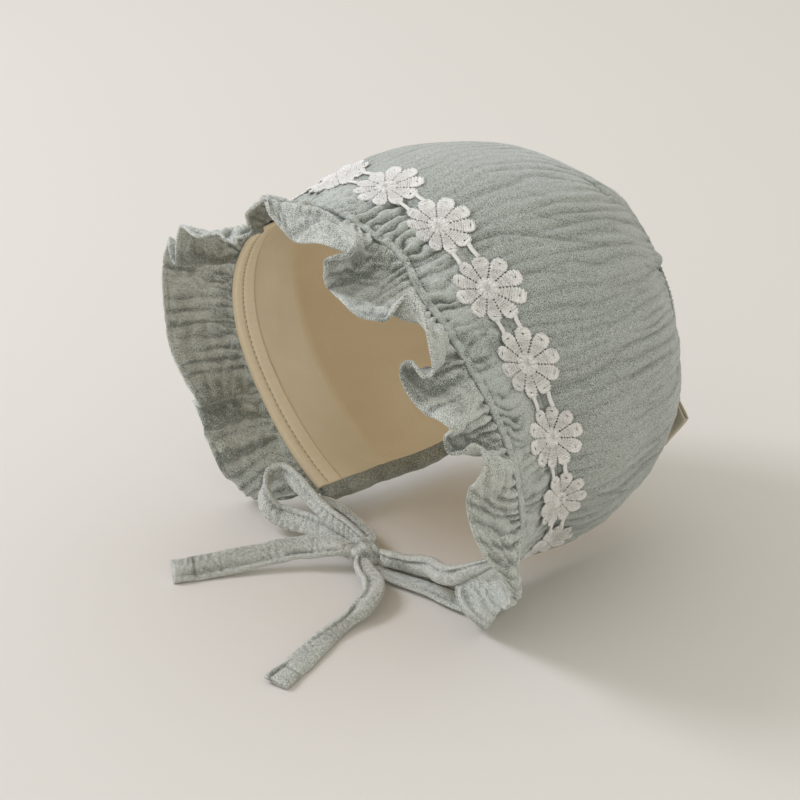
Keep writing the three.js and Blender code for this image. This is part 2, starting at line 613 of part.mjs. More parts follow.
/** The tight wrap that the ties are knotted in. */
function bowKnot() {
  const ball = new THREE.SphereGeometry(1, 14, 10);
  ball.scale(...KNOT.size.map((side) => side / 2));
  ball.rotateZ(KNOT.turn * DEGREE);
  ball.translate(...KNOT.centre);
  return piece('bow_knot', ball, cloth(0xa1a195));
}

/** One stretch of tie: a flattened tube along its route. */
function tie({ name, width, wall: thickness, tilt, points }) {
  const route = new THREE.CatmullRomCurve3(points.map((p) => new THREE.Vector3(...p)), false, 'centripetal');
  const corners = [];
  for (let i = 0; i < TIE_SIDES; i += 1) {
    const turn = ((i + 0.5) / TIE_SIDES) * 2 * Math.PI;
    const corner = new THREE.Vector2((thickness / 2) * Math.sin(turn), (width / 2) * Math.cos(turn));
    corners.push(corner.rotateAround(new THREE.Vector2(), tilt * DEGREE));
  }
  const steps = Math.max(4, Math.round(route.getLength() / TIE_STEP));
  const options = { steps, bevelEnabled: false, extrudePath: route };
  return piece(name, new THREE.ExtrudeGeometry(new THREE.Shape(corners), options), cloth(0xa1a195));
}

// ---- Assembly ------------------------------------------------------------------------------------
const hat = new THREE.Group();
hat.add(crown(), back(), frontBand(), frill(), lining(), backLining(), facing(), lace());
hat.add(neckBinding(), label(), bowKnot(), ...TIES.map(tie));
const group = new THREE.Group();
const seat = offsetPoint(crownSurface, 0, 0.35, -LINING_DEPTH - LINING);
hat.position.z = -seat.z;
group.add(hat);

export default group;
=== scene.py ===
"""A baby's bonnet of crinkled sage gauze, with a frilled brim, daisy lace, cream lining and tied ties.

All shapes are worked out in millimetres from the centre of the head that the hat was made for, with the
face looking along -Y, and are moved into the frame, in metres, as their meshes are made.
"""

import logging
import math
from contextlib import contextmanager
from dataclasses import astuple, dataclass, field
from enum import Enum
from typing import Iterator, Optional, Sequence

import bmesh
import bpy
import numpy as np
from mathutils import Matrix


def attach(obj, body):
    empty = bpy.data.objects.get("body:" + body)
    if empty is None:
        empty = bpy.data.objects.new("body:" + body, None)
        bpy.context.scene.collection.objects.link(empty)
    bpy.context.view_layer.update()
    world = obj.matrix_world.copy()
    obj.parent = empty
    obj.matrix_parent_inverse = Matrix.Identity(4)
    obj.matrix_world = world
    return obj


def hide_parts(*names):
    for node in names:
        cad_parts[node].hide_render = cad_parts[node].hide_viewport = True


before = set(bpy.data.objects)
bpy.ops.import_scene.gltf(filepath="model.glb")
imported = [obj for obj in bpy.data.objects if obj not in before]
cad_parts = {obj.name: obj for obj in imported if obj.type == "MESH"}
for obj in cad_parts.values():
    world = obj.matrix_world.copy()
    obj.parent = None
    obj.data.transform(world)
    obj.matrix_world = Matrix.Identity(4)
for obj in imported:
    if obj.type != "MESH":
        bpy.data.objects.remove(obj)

Array = np.ndarray
Piece = bpy.types.Object
Colour = tuple[float, float, float, float]

LOG = logging.getLogger("bonnet")
MM = 0.001
FLOOR = -71.0  # what the head stands on, from the head's centre
CROWN_CENTRE = np.array([0.0, 4.0, 3.0])
PANEL_END = 147.0  # the panels reach this far round from the top on both sides
LABEL_AT = 124.0  # where the label is caught in the back seam, in degrees from the top
ARC = math.radians(76)  # millimetres of cloth to a degree, about, round the hat


# ---- Numbers ----


def through(x: Array, xs: Sequence[float], ys: Sequence[float]) -> Array:
    """A smooth curve through a table: cubic between rows, each slope set by the row's two neighbours.

    Args:
        x: where the curve is read.
        xs: the rows' places, rising.
        ys: the rows' values.

    Returns:
        The curve's values, in the shape of x.
    """
    xs, ys = np.asarray(xs, float), np.asarray(ys, float)
    before, after = np.maximum(np.arange(len(xs)) - 1, 0), np.minimum(np.arange(len(xs)) + 1, len(xs) - 1)
    slope = (ys[after] - ys[before]) / (xs[after] - xs[before])
    x = np.clip(x, xs[0], xs[-1])
    i = np.clip(np.searchsorted(xs, x, side="right") - 1, 0, len(xs) - 2)
    span = xs[i + 1] - xs[i]
    t = (x - xs[i]) / span
    rise = 3 * t**2 - 2 * t**3
    bow_in, bow_out = t - 2 * t**2 + t**3, t**3 - t**2
    return ys[i] + (ys[i + 1] - ys[i]) * rise + span * (bow_in * slope[i] + bow_out * slope[i + 1])


def smooth(x: Array, low: float, high: float) -> Array:
    """An easy step from 0 at low to 1 at high, 3 t² - 2 t³; low may be the larger."""
    t = np.clip((np.asarray(x, float) - low) / (high - low), 0, 1)
    return t * t * (3 - 2 * t)


def bell(x: Array, middle: float, spread: float) -> Array:
    """A bell curve: 1 at the middle, exp(-t²) at t spreads from it."""
    return np.exp(-(((x - middle) / spread) ** 2))


def unit(vectors: Array) -> Array:
    """The vectors at length 1."""
    return vectors / np.maximum(np.linalg.norm(vectors, axis=-1, keepdims=True), 1e-12)


def dot(first: Array, second: Array) -> Array:
    """The dot products of two grids of vectors, kept as a last direction of one."""
    return np.sum(first * second, axis=-1, keepdims=True)


def walked(points: Array) -> Array:
    """How far along a line of points each one is, from 0."""
    return np.concatenate([[0.0], np.cumsum(np.linalg.norm(np.diff(points, axis=0), axis=-1))])


def read_at(columns: Array, way: Array, where: Array) -> Array:
    """Columns of numbers, known at lengths `way` along a line, read at other lengths `where`."""
    return np.stack([np.interp(where, way, column) for column in columns.T], axis=-1)


def squared(wave: Array, power: float) -> Array:
    """A sine or cosine made squarer, for oblong sections: sign(wave) |wave|^power."""
    return np.sign(wave) * np.abs(wave) ** power


def scatter(ix: Array, iy: Array, seed: int) -> Array:
    """A fixed random number from -1 to 1 for each pair of whole numbers: their bits, mixed and folded.

    Args:
        ix: the first numbers.
        iy: the second numbers.
        seed: which set of random numbers.

    Returns:
        The random numbers.
    """
    h = ix.astype(np.int64) * 374761393 + iy.astype(np.int64) * 668265263 + seed * 974634777
    h = (h ^ (h >> 13)) * 1274126177 & 0xFFFFFFFF
    h = (h ^ (h >> 16)) * 2246822519 & 0xFFFFFFFF
    return (h ^ (h >> 15) & 0xFFFFFFFF) / 0x7FFFFFFF - 1.0


def cloud(x: Array, y: Array, seed: int) -> Array:
    """Smooth noise from -1 to 1: random numbers on a lattice of ones, eased between the four corners.

    Args:
        x: places in the first direction.
        y: places in the second.
        seed: which noise.

    Returns:
        The noise at the places.
    """
    ix, iy = np.floor(x), np.floor(y)
    fx, fy = smooth(x - ix, 0, 1), smooth(y - iy, 0, 1)
    near = scatter(ix, iy, seed) * (1 - fx) + scatter(ix + 1, iy, seed) * fx
    far = scatter(ix, iy + 1, seed) * (1 - fx) + scatter(ix + 1, iy + 1, seed) * fx
    return near * (1 - fy) + far * fy


@dataclass(frozen=True)
class Noise:
    """Smooth noise over a cloth, in patches of `long` by `deep` millimetres."""

    seed: int
    long: float
    deep: float = math.inf  # so that without it the noise is the same at every depth
    most: float = 1.0
    start: float = 0.0
    slant: float = 0.0  # how the patches lean, in patches to a millimetre of depth

    def at(self, line: Array, depth: Array) -> Array:
        """The noise, most * cloud(line / long + start + slant * depth, depth / deep)."""
        across = line / self.long + self.start + self.slant * depth
        return self.most * cloud(across, depth / self.deep, self.seed)


@dataclass(frozen=True)
class Patches:
    """How strong something is over a cloth: noise about a middle, held between a low and a high."""

    middle: float
    noise: Noise
    low: float
    high: float

    def at(self, line: Array, depth: Array) -> Array:
        """The strength, clip(middle + noise, low, high)."""
        return np.clip(self.middle + self.noise.at(line, depth), self.low, self.high)


@dataclass(frozen=True)
class Creases:
    """Creases that run down a cloth, `apart` millimetres from one to the next, and wander with noise."""

    apart: float
    wander: tuple[Noise, ...]

    def phase(self, line: Array, depth: Array) -> Array:
        """How many creases there are up to each place: line / apart and the noises."""
        return line / self.apart + sum(noise.at(line, depth) for noise in self.wander)

    def folds(self, line: Array, depth: Array, sharp: float) -> Array:
        """Round crests with narrow valleys, 0 on a crest and -1 in a valley: -|2 frac(phase) - 1|^sharp."""
        return crease(self.phase(line, depth), sharp) - 1

    def furrows(self, line: Array, depth: Array, half: float, sharp: float) -> Array:
        """Narrow furrows, 1 in the middle and 0 beside them: exp(-(distance / half)^sharp)."""
        phase = self.phase(line, depth)
        return np.exp(-((np.abs(phase - np.round(phase)) * self.apart / half) ** sharp))


def crease(phase: Array, sharp: float) -> Array:
    """Round crests, one to each whole phase, with narrow valleys: 1 on a crest and 0 in a valley."""
    return 1 - np.abs(2 * (phase - np.floor(phase)) - 1) ** sharp


def grid_normals(points: Array) -> Array:
    """The normals of a grid of points: the cross product of its two directions, by differences."""
    return unit(np.cross(np.gradient(points, axis=0), np.gradient(points, axis=1)))


def outward(points: Array) -> Array:
    """A grid's normals, turned so that on the whole they point away from the middle of the crown."""
    normals = grid_normals(points)
    return normals * np.sign(np.sum(normals * (points - CROWN_CENTRE)))


def evened(grid: Array, reach: int) -> Array:
    """A grid averaged along its first direction.

    Args:
        grid: the numbers or vectors.
        reach: how many points to each side an average takes in; the ends count as if they went on.

    Returns:
        The averages, in the shape of the grid.
    """
    padded = np.concatenate([np.repeat(grid[:1], reach, axis=0), grid, np.repeat(grid[-1:], reach, axis=0)])
    total = np.cumsum(np.concatenate([0 * padded[:1], padded]), axis=0)
    count = 2 * reach + 1
    return (total[count:] - total[:-count]) / count


def sunk(points: Array, normals: Array, reach: int) -> Array:
    """How far each point lies under the average of those beside it, along the normals."""
    return dot(evened(points, reach) - points, normals)[..., 0]


# ---- Meshes ----


@contextmanager
def editing(mesh: bpy.types.Mesh) -> Iterator[bmesh.types.BMesh]:
    """Opens a mesh for edits and puts the edited mesh back.

    Args:
        mesh: the mesh.

    Yields:
        The editable copy.
    """
    work = bmesh.new()
    work.from_mesh(mesh)
    yield work
    work.to_mesh(mesh)
    work.free()


def grid_quads(index: Array) -> Array:
    """The corners of a grid's quads, kept as a grid."""
    return np.stack([index[:-1, :-1], index[1:, :-1], index[1:, 1:], index[:-1, 1:]], axis=-1)


def strip_quads(first: Array, second: Array) -> Array:
    """The corners of the quads between two lines of points."""
    return np.stack([first[:-1], second[:-1], second[1:], first[1:]], axis=-1)[:, ::-1]


def fan(ring: Array, tip: int) -> Array:
    """The corners of the triangles from a ring of points to one point."""
    return np.stack([ring, np.roll(ring, -1), np.full(len(ring), tip)], axis=-1)


class Bench:
    """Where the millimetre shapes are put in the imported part's frame and become meshes."""

    def __init__(self, form: "HatForm") -> None:
        """Finds how far the head's centre lies under the part's origin, inside the top of the hat."""
        self.drop = form.seat_height()

    def place(self, points: Array) -> Array:
        """Points in millimetres from the head's centre, as metres in the frame."""
        return (np.asarray(points, float) - [0.0, 0.0, self.drop]) * MM

    def mesh(self, name: str, points: Array, faces: Array, uv: Array, **values: Array) -> Piece:
        """Makes one mesh object from whole arrays.

        Args:
            name: the piece's name.
            points: (n, 3) places in millimetres.
            faces: (m, k) corners, k of them to each face.
            uv: (n, 2) places in the cloth, in millimetres.
            values: named numbers, one to each point, that materials read.

        Returns:
            The new object, at the origin, smooth, in the scene.
        """
        mesh = bpy.data.meshes.new(name)
        mesh.vertices.add(len(points))
        mesh.vertices.foreach_set("co", self.place(points).astype(np.float32).ravel())
        mesh.loops.add(faces.size)
        mesh.loops.foreach_set("vertex_index", faces.astype(np.int32).ravel())
        mesh.polygons.add(len(faces))
        mesh.polygons.foreach_set("loop_start", np.arange(0, faces.size, faces.shape[1], dtype=np.int32))
        mesh.polygons.foreach_set("use_smooth", np.ones(len(faces), dtype=bool))
        layer = mesh.uv_layers.new(name="cloth")
        layer.data.foreach_set("uv", uv[faces.ravel()].astype(np.float32).ravel())
        for key, numbers in values.items():
            attribute = mesh.attributes.new(key, "FLOAT", "POINT")
            attribute.data.foreach_set("value", np.asarray(numbers, np.float32).ravel())
        mesh.update(calc_edges=True)
        mesh.validate()
        made = bpy.data.objects.new(name, mesh)
        bpy.context.scene.collection.objects.link(made)
        return made

    def sheet(self, name: str, points: Array, uv: Array, **values: Array) -> Piece:
        """Makes a mesh of a grid's quads.

        Args:
            name: the piece's name.
            points: (a, b, 3) grid in millimetres.
            uv: (a, b, 2) places in the cloth, in millimetres.
            values: named numbers on the grid, for materials.

        Returns:
            The new object.
        """
        quads = grid_quads(np.arange(uv[..., 0].size).reshape(uv.shape[:2])).reshape(-1, 4)
        return self.mesh(name, points.reshape(-1, 3), quads, uv.reshape(-1, 2), **values)

    def shell(
        self, name: str, walls: tuple[Array, Array], uv: Array, ridge: Array, wrap: bool = False
    ) -> Piece:
        """Makes a closed wall of cloth between two grids, with a strip of quads along each free edge.

        Args:
            name: the piece's name.
            walls: the (a, b, 3) grid that faces away from the hat's middle and the one behind it.
            uv: (a, b, 2) places in the cloth, in millimetres.
            ridge: how light the cloth is on the grid, for materials.
            wrap: whether the first and last columns are the same line, which is then joined.

        Returns:
            The new object.
        """
        outer, inner = walls
        front = np.arange(ridge.size).reshape(ridge.shape)
        rear = front + ridge.size
        faces = [grid_quads(front).reshape(-1, 4), grid_quads(rear).reshape(-1, 4)[:, ::-1]]
        faces += [strip_quads(rear[:, 0], front[:, 0]), strip_quads(front[:, -1], rear[:, -1])]
        if not wrap:
            faces += [strip_quads(front[0], rear[0]), strip_quads(rear[-1], front[-1])]
        joined = np.concatenate(faces)
        if np.sum(grid_normals(outer) * (outer - inner)) < 0:
            joined = joined[:, ::-1]
        points = np.concatenate([outer.reshape(-1, 3), inner.reshape(-1, 3)])
        places = np.tile(uv.reshape(-1, 2), (2, 1))
        made = self.mesh(name, points, joined, places, ridge=np.tile(ridge.reshape(-1), 2))
        if wrap:
            weld(made)
        return made

    def tube(self, name: str, rings: Array, uv: Array, ridge: Array) -> Piece:
        """Makes a closed skin through rings of points, with a fan of triangles at each end.

        Args:
            name: the piece's name.
            rings: (stations, sides, 3) points in millimetres.
            uv: (stations, sides, 2) places in the cloth.
            ridge: how light the cloth is on the rings, for materials.

        Returns:
            The new object.
        """
        count, sides = ridge.shape
        index = np.arange(count * sides).reshape(count, sides)
        turned = np.roll(index, -1, axis=1)
        quads = np.stack([index[:-1], turned[:-1], turned[1:], index[1:]], axis=-1).reshape(-1, 4)
        points = np.concatenate([rings.reshape(-1, 3), rings[[0, -1]].mean(axis=1)])
        places = np.concatenate([uv.reshape(-1, 2), uv[[0, -1]].mean(axis=1)])
        shade = np.concatenate([ridge.reshape(-1), ridge[[0, -1]].mean(axis=1)])
        made = self.mesh(name, points, quads, places, ridge=shade)
        tip = count * sides
        add_triangles(made, np.concatenate([fan(index[0], tip)[:, ::-1], fan(index[-1], tip + 1)]), places)
        return made


def add_triangles(piece: Piece, triangles: Array, places: Array) -> None:
    """Adds triangles to a mesh and turns all its faces outward.

    Args:
        piece: the object.
        triangles: (m, 3) corners.
        places: every point's place in the cloth.
    """
    with editing(piece.data) as work:
        work.verts.ensure_lookup_table()
        layer = work.loops.layers.uv.active
        for corners in triangles:
            face = work.faces.new([work.verts[int(i)] for i in corners])
            face.smooth = True
            for loop, i in zip(face.loops, corners):
                loop[layer].uv = places[int(i)]
        bmesh.ops.recalc_face_normals(work, faces=work.faces)


def weld(piece: Piece) -> None:
    """Joins points of a piece that are in the same place."""
    with editing(piece.data) as work:
        bmesh.ops.remove_doubles(work, verts=work.verts, dist=0.01 * MM)


def thicken(piece: Piece, wall: float, offset: float = -1.0) -> None:
    """Gives an open sheet its thickness.

    Args:
        piece: the object.
        wall: the thickness, in millimetres.
        offset: -1 to add it all behind the sheet, 0 for half to each side.
    """
    modifier = piece.modifiers.new("wall", "SOLIDIFY")
    modifier.thickness = wall * MM
    modifier.offset = offset
    modifier.use_rim = True


# ---- Materials ----


class Wire:
    """One value in a material, as an output socket that adds Math nodes when it is worked with."""

    def __init__(self, graph: "Graph", socket: bpy.types.NodeSocket) -> None:
        """Keeps the graph that new nodes go in and the socket that holds the value."""
        self.graph = graph
        self.socket = socket

    def _math(self, operation: str, *operands: object) -> "Wire":
        """Adds a Math node on the operands, in order."""
        return self.graph.node("ShaderNodeMath", {"operation": operation}, *operands)

    def __add__(self, other: object) -> "Wire":
        """The sum."""
        return self._math("ADD", self, other)

    def __sub__(self, other: object) -> "Wire":
        """The difference."""
        return self._math("SUBTRACT", self, other)

    def __mul__(self, other: object) -> "Wire":
        """The product."""
        return self._math("MULTIPLY", self, other)

    def sine(self) -> "Wire":
        """The sine."""
        return self._math("SINE", self)

    def clamped(self) -> "Wire":
        """The value held between 0 and 1."""
        return self.graph.node("ShaderNodeClamp", {}, self)


class Graph:
    """A material's node tree, built by calls."""

    def __init__(self, name: str) -> None:
        """Starts a material with a Principled shader wired to its output.

        Args:
            name: its name.
        """
        self.material = bpy.data.materials.new(name)
        self.material.use_nodes = True
        self.tree = self.material.node_tree
        self.shader = self.tree.nodes["Principled BSDF"]

    def node(self, kind: str, settings: dict, *values: object, out: object = 0, **named: object) -> Wire:
        """Adds any node.

        Args:
            kind: the node's type.
            settings: its own settings, set before its sockets.
            values: what its first sockets take, in order: numbers, tuples or wires.
            out: which output is wanted, by place or name.
            named: what sockets take by name, with _ for a space.

        Returns:
            The chosen output.
        """
        made = self.tree.nodes.new(kind)
        for key, value in settings.items():
            setattr(made, key, value)
        given = list(enumerate(values)) + [(key.replace("_", " "), value) for key, value in named.items()]
        for key, value in given:
            self.feed(made.inputs[key], value)
        return Wire(self, made.outputs[out])

    def feed(self, socket: bpy.types.NodeSocket, value: object) -> None:
        """Puts a number, a tuple or a wire into a socket.

        Args:
            socket: the socket.
            value: what goes in.
        """
        if isinstance(value, Wire):
            self.tree.links.new(value.socket, socket)
        else:
            socket.default_value = value

    def value(self, name: str) -> Wire:
        """A named number that the mesh carries."""
        return self.node("ShaderNodeAttribute", {"attribute_name": name}, out="Fac")

    def cloth_place(self, across: float, along: float) -> Wire:
        """The place in the cloth, in millimetres, multiplied by a scale in each direction."""
        place = self.node("ShaderNodeUVMap", {"uv_map": "cloth"})
        return self.node("ShaderNodeVectorMath", {"operation": "MULTIPLY"}, place, (across, along, 1.0))

    def noise(self, place: Wire, scale: float, detail: float, seed: float) -> Wire:
        """Noise from 0 to 1.

        Args:
            place: where it is read.
            scale: how many grains there are to a unit of the place.
            detail: how many finer layers lie in it.
            seed: how far it is moved, so that no two noises are alike.

        Returns:
            The noise.
        """
        moved = self.node("ShaderNodeVectorMath", {"operation": "ADD"}, place, (seed, 1.7 * seed, seed))
        return self.node("ShaderNodeTexNoise", {}, moved, Scale=scale, Detail=detail, Roughness=0.55)

    def grain(self, across: float, along: float, detail: float = 3.0, seed: float = 0.0) -> Wire:
        """Noise in the cloth, with its grains 1 / across and 1 / along millimetres in size."""
        return self.noise(self.cloth_place(across, along), 1.0, detail, seed)

    def nap(self, scale: float, detail: float = 0.0, seed: float = 0.0) -> Wire:
        """Noise that is alike in all directions, with grains of 1 / scale millimetres."""
        return self.noise(self.node("ShaderNodeTexCoord", {}, out="Object"), scale / MM, detail, seed)

    def split(self, vector: Wire, axis: str) -> Wire:
        """One component of a vector."""
        return self.node("ShaderNodeSeparateXYZ", {}, vector, out=axis)

    def mix(self, share: object, first: object, second: object) -> Wire:
        """A colour between two colours.

        Args:
            share: how much there is of the second, from 0 to 1.
            first: one colour.
            second: the other.

        Returns:
            The colour.
        """
        made = self.tree.nodes.new("ShaderNodeMix")
        made.data_type = "RGBA"
        made.clamp_factor = True
        for key, value in (("Factor_Float", share), ("A_Color", first), ("B_Color", second)):
            socket = next(s for s in made.inputs if s.identifier == key)
            self.feed(socket, value)
        return Wire(self, next(s for s in made.outputs if s.identifier == "Result_Color"))

    def finish(self, sockets: dict, height: Optional[Wire] = None, depth: float = 0.0) -> bpy.types.Material:
        """Feeds the shader.

        Args:
            sockets: what its sockets take, by name.
            height: a relief from 0 to 1, or none.
            depth: the relief's depth, in millimetres.

        Returns:
            The finished material.
        """
        if height is not None:
            bump = self.node("ShaderNodeBump", {}, Strength=1.0, Distance=depth * MM, Height=height)
            sockets = sockets | {"Normal": bump}
        for name, value in sockets.items():
            self.feed(self.shader.inputs[name], value)
        return self.material


def linear(shown: float) -> float:
    """The amount of light in a shown value, 0 to 1, by the curve of sRGB screens."""
    return shown / 12.92 if shown <= 0.04045 else ((shown + 0.055) / 1.055) ** 2.4


def rgb(red: float, green: float, blue: float) -> Colour:
    """A colour for a shader from the values that a screen shows, 0 to 255."""
    return (linear(red / 255), linear(green / 255), linear(blue / 255), 1.0)


@dataclass(frozen=True)
class Gauze:
    """Crinkled double gauze: an open plain weave with slubs and a soft nap, with painted shade darker in its
    creases.
    """

    name: str
    light: Colour
    dark: Colour
    thread: float = 0.7  # millimetres from one thread to the next
    weave: float = 0.5  # how plainly the threads show
    relief: float = 0.2  # how deep the relief is, in millimetres
    mottle: float = 0.7  # how plainly the soft patches show
    grain: float = 3.2  # how plainly the fine specks show
    wander: float = 14.0  # how far noise bends the rows of threads, in radians of their waves
    sheen: float = 0.5
    gloss: float = 0.15

    def material(self) -> bpy.types.Material:
        """Builds the material. The weave is two crossed sine waves, each thread wandering with noise."""
        graph = Graph(self.name)
        turn = 2 * math.pi / self.thread
        place = graph.cloth_place(turn, turn)
        wander = graph.grain(0.3, 0.3, seed=3.0) * self.wander
        warp = (graph.split(place, "X") + wander).sine()
        weft = (graph.split(place, "Y") + wander).sine()
        weave = (warp * weft) * 0.5 + 0.5
        slub = graph.grain(2.2, 0.45, seed=1.0) + graph.grain(0.45, 2.2, seed=2.0)
        fuzz = graph.nap(1.5, detail=1.0, seed=5.0)
        speck = graph.nap(2.9, seed=7.0)
        relief = weave * 0.3 + slub * 0.3 + fuzz * 0.5 + speck * 0.4
        noise = fuzz * self.mottle + speck * self.grain
        middle = 0.5 + 0.5 * (self.weave + self.mottle + self.grain)
        # The lightness that the mesh carries is painted shade, darker in creases and hollows; the slubs, the
        # weave and the noise are the gauze's own tone.
        shade = graph.value("ridge") * 0.8 + slub * 0.4 + weave * self.weave + noise
        colour = graph.mix((shade - middle).clamped(), self.dark, self.light)
        sheen = {"Sheen Weight": self.sheen, "Sheen Roughness": 0.5}
        sockets = {"Base Color": colour, "Roughness": 0.94, "Specular IOR Level": self.gloss}
        return graph.finish(sockets | sheen, relief, self.relief)


@dataclass(frozen=True)
class LaceThread:
    """Off-white cotton embroidery: ribs of satin stitch across each petal."""

    name: str = "lace_thread"
    stitch: float = 0.62  # millimetres from one stitch to the next
    relief: float = 0.22
    sheen: float = 0.15
    gloss: float = 0.2
    light: Colour = rgb(255, 253, 249)
    dark: Colour = rgb(184, 180, 170)

    def material(self) -> bpy.types.Material:
        """Builds the material. The stitches are fine waves along each petal, broken by noise."""
        graph = Graph(self.name)
        turn = 2 * math.pi / self.stitch
        place = graph.cloth_place(turn, turn)
        wobble = graph.grain(0.9, 0.9, seed=4.0) * 5.0
        rib = (graph.split(place, "Y") * 1.1 + graph.split(place, "X") * 0.45 + wobble).sine() * 0.5 + 0.5
        fuzz = graph.grain(2.6, 2.6, detail=1.0, seed=6.0)
        # The lightness that the mesh carries is painted shade, darker on the lower stitches.
        shade = graph.value("ridge") * 1.0 + rib * 0.3 + fuzz * 1.9 - 0.88
        colour = graph.mix(shade.clamped(), self.dark, self.light)
        sockets = {"Base Color": colour, "Roughness": 0.85, "Specular IOR Level": self.gloss}
        sheen = {"Sheen Weight": self.sheen}
        return graph.finish(sockets | sheen, rib * 0.5 + fuzz * 0.6, self.relief)


@dataclass(frozen=True)
class PlainCotton:
    """A close plain weave for the lining and the label."""

    name: str
    light: Colour
    dark: Colour
    thread: float = 0.36  # millimetres from one thread to the next
    relief: float = 0.08
    gloss: float = 0.2

    def material(self) -> bpy.types.Material:
        """Builds the material. Two crossed fine waves make the weave, noise varies its tone, and the
        lightness that the mesh carries adds painted shade.
        """
        graph = Graph(self.name)
        turn = 2 * math.pi / self.thread
        place = graph.cloth_place(turn, turn)
        weave = graph.split(place, "X").sine() * graph.split(place, "Y").sine() * 0.5 + 0.5
        fuzz = graph.grain(1.2, 1.2, detail=5.0, seed=8.0)
        # Painted shade comes in with the mesh's lightness; the noise is the cotton's own tone.
        shade = graph.value("ridge") * 0.6 + fuzz * 0.5
        colour = graph.mix(shade.clamped(), self.dark, self.light)
        sockets = {"Base Color": colour, "Roughness": 0.9, "Specular IOR Level": self.gloss}
        return graph.finish(sockets, weave * 0.5 + fuzz * 0.5, self.relief)


@dataclass(frozen=True)
class Backdrop:
    """Matt seamless paper."""

    name: str = "backdrop"
    colour: Colour = rgb(222, 217, 210)

    def material(self) -> bpy.types.Material:
        """Builds the material from Object coordinates, with the faintest mottle."""
        graph = Graph(self.name)
        place = graph.node("ShaderNodeTexCoord", {}, out="Object")
        mottle = graph.node("ShaderNodeTexNoise", {}, place, Scale=3.0, Detail=2.0)
        darker = tuple(0.985 * v for v in self.colour[:3]) + (1.0,)
        return graph.finish({"Base Color": graph.mix(mottle, self.colour, darker), "Roughness": 0.95})


# ---- The hat's form ----


@dataclass(frozen=True)
class Section:
    """A section round the head, `at` degrees from the top, the same on both sides."""

    at: float
    seam_radius: float
    seam_y: float
    lace_radius: float
    lace_y: float
    back_tilt: float
    back_radius: float


@dataclass(frozen=True)
class Fold:
    """A row of the frill: where it leaves the seam and how it turns out and along.

    Its middle swells out by `puff`, goes further ahead by `curl` before the cloth turns back, and
    is pushed along the seam by `sway`, all as shares of the frill's width.
    """

    at: float
    lift: float
    lean: float
    puff: float
    reach: float = 1.0
    curl: float = 0.0
    sway: float = 0.0


SECTIONS = (
    Section(0, 69.5, -53, 73, -31, 42, 78.5),
    Section(30, 67.5, -53, 73, -30, 41, 78.5),
    Section(60, 72.5, -49.5, 73, -26.5, 39, 77),
    Section(90, 79, -42, 73, -18.5, 36, 77),
    Section(120, 81, -33.5, 74.5, -9, 34, 77.6),
    Section(147, 75, -32.5, 75.5, -1.5, 38, 80),
)

FOLDS = tuple(
    Fold(*row) for row in (  # at, lift, lean, puff, reach, curl, sway
        (-147, 70, 40, 0), (-142, 62, 29, 0), (-138, 55, 19, 0), (-133, 43, 12, 0.1), (-130, 25, 8, 0.2),
        (-127, 12, 8, 0.1), (-122, 6, 14, 0.1), (-119, -4, 13, -0.15), (-115, 4, 22, 0.15),
        (-112, -19, 10, -0.15), (-107, -9, 15, 0.1), (-99, 6, 13, 0.1), (-90, 5, 11, 0.12),
        (-82, 11, 13, 0.15), (-75, 18, 14, 0.15), (-68, 31, 19, 0.2), (-64, 4, 12, -0.2),
        (-60, 27, 24, 0.15), (-54, 6, 27, 0.1), (-49, 5, 36, 0.1), (-44, -12, 38, 0.2), (-40, -1, 38, -0.1),
        (-37, 0, 46, 0.05), (-33, 20, 43, 0.1), (-28, 28, 43, 0.25), (-22, 31, 40, 0.42), (-15, 8, 34, 0.5),
        (-8, -4, 33, 0.48), (0, 8, 41, 0.4, 1, 0, 0.05), (6, 21, 44, 0.36, 1, 0, 0.2),
        (9, 25, 38, 0.42, 1, 0, 0.32), (12, 22, 15, 0.36, 1, 0, 0.42), (16, 18, -5, -0.1, 1, 0, 0.12),
        (20, 5, -13, -0.35, 1, 0, -0.08), (24, -6, -7, -0.35), (28, 3, 15, -0.25),
        (32, 10, 26, -0.15, 1, 0.08), (35, 22, 30, 0, 1, 0.2), (37, 33, 28, 0.1, 1, 0.35),
        (40, 61, 10, -0.1, 1, 0.45), (42, 60, 16, 0, 1, 0.36), (44, 55, 17, 0.15, 1, 0.15),
        (47, 44, 22, 0.3, 1, -0.05), (51, 33, 25, 0.35, 1, -0.05, 0.1), (54, 25, 14, 0.1, 1, 0.1, 0.25),
        (56, 25, -4, -0.25, 1, 0.25, 0.22), (58, 13, -15, -0.35, 1, 0.1, 0.05), (60, 5, -17, -0.35),
        (64, 1, -12, -0.2), (67, 2, -10, 0.1), (73, 16, -11, 0.25, 1, 0.15), (76, 5, -15, 0, 1, 0.3),
        (79, 3, -13, -0.2, 1, 0.1), (82, 9, -23, -0.2), (85, 15, -38, 0.2), (88, 17, -40, 0.35),
        (91, 13, -42, 0.35), (94, 3, -42, 0.2), (98, -14, -42, 0), (102, -22, -39, 0.05),
        (107, -14, -34, 0.2), (112, -5, -35, 0.4), (117, 5, -39, 0.55), (121, 13, -43, 0.6),
        (125, 22, -48, 0.6, 1, -0.15), (130, 31, -51, 0.5, 1, -0.25), (138, 38, -56, 0.2, 0.98, -0.1),
        (143, 60, -49, 0, 0.9), (147, 83, -39, 0, 0.83),
    )
)


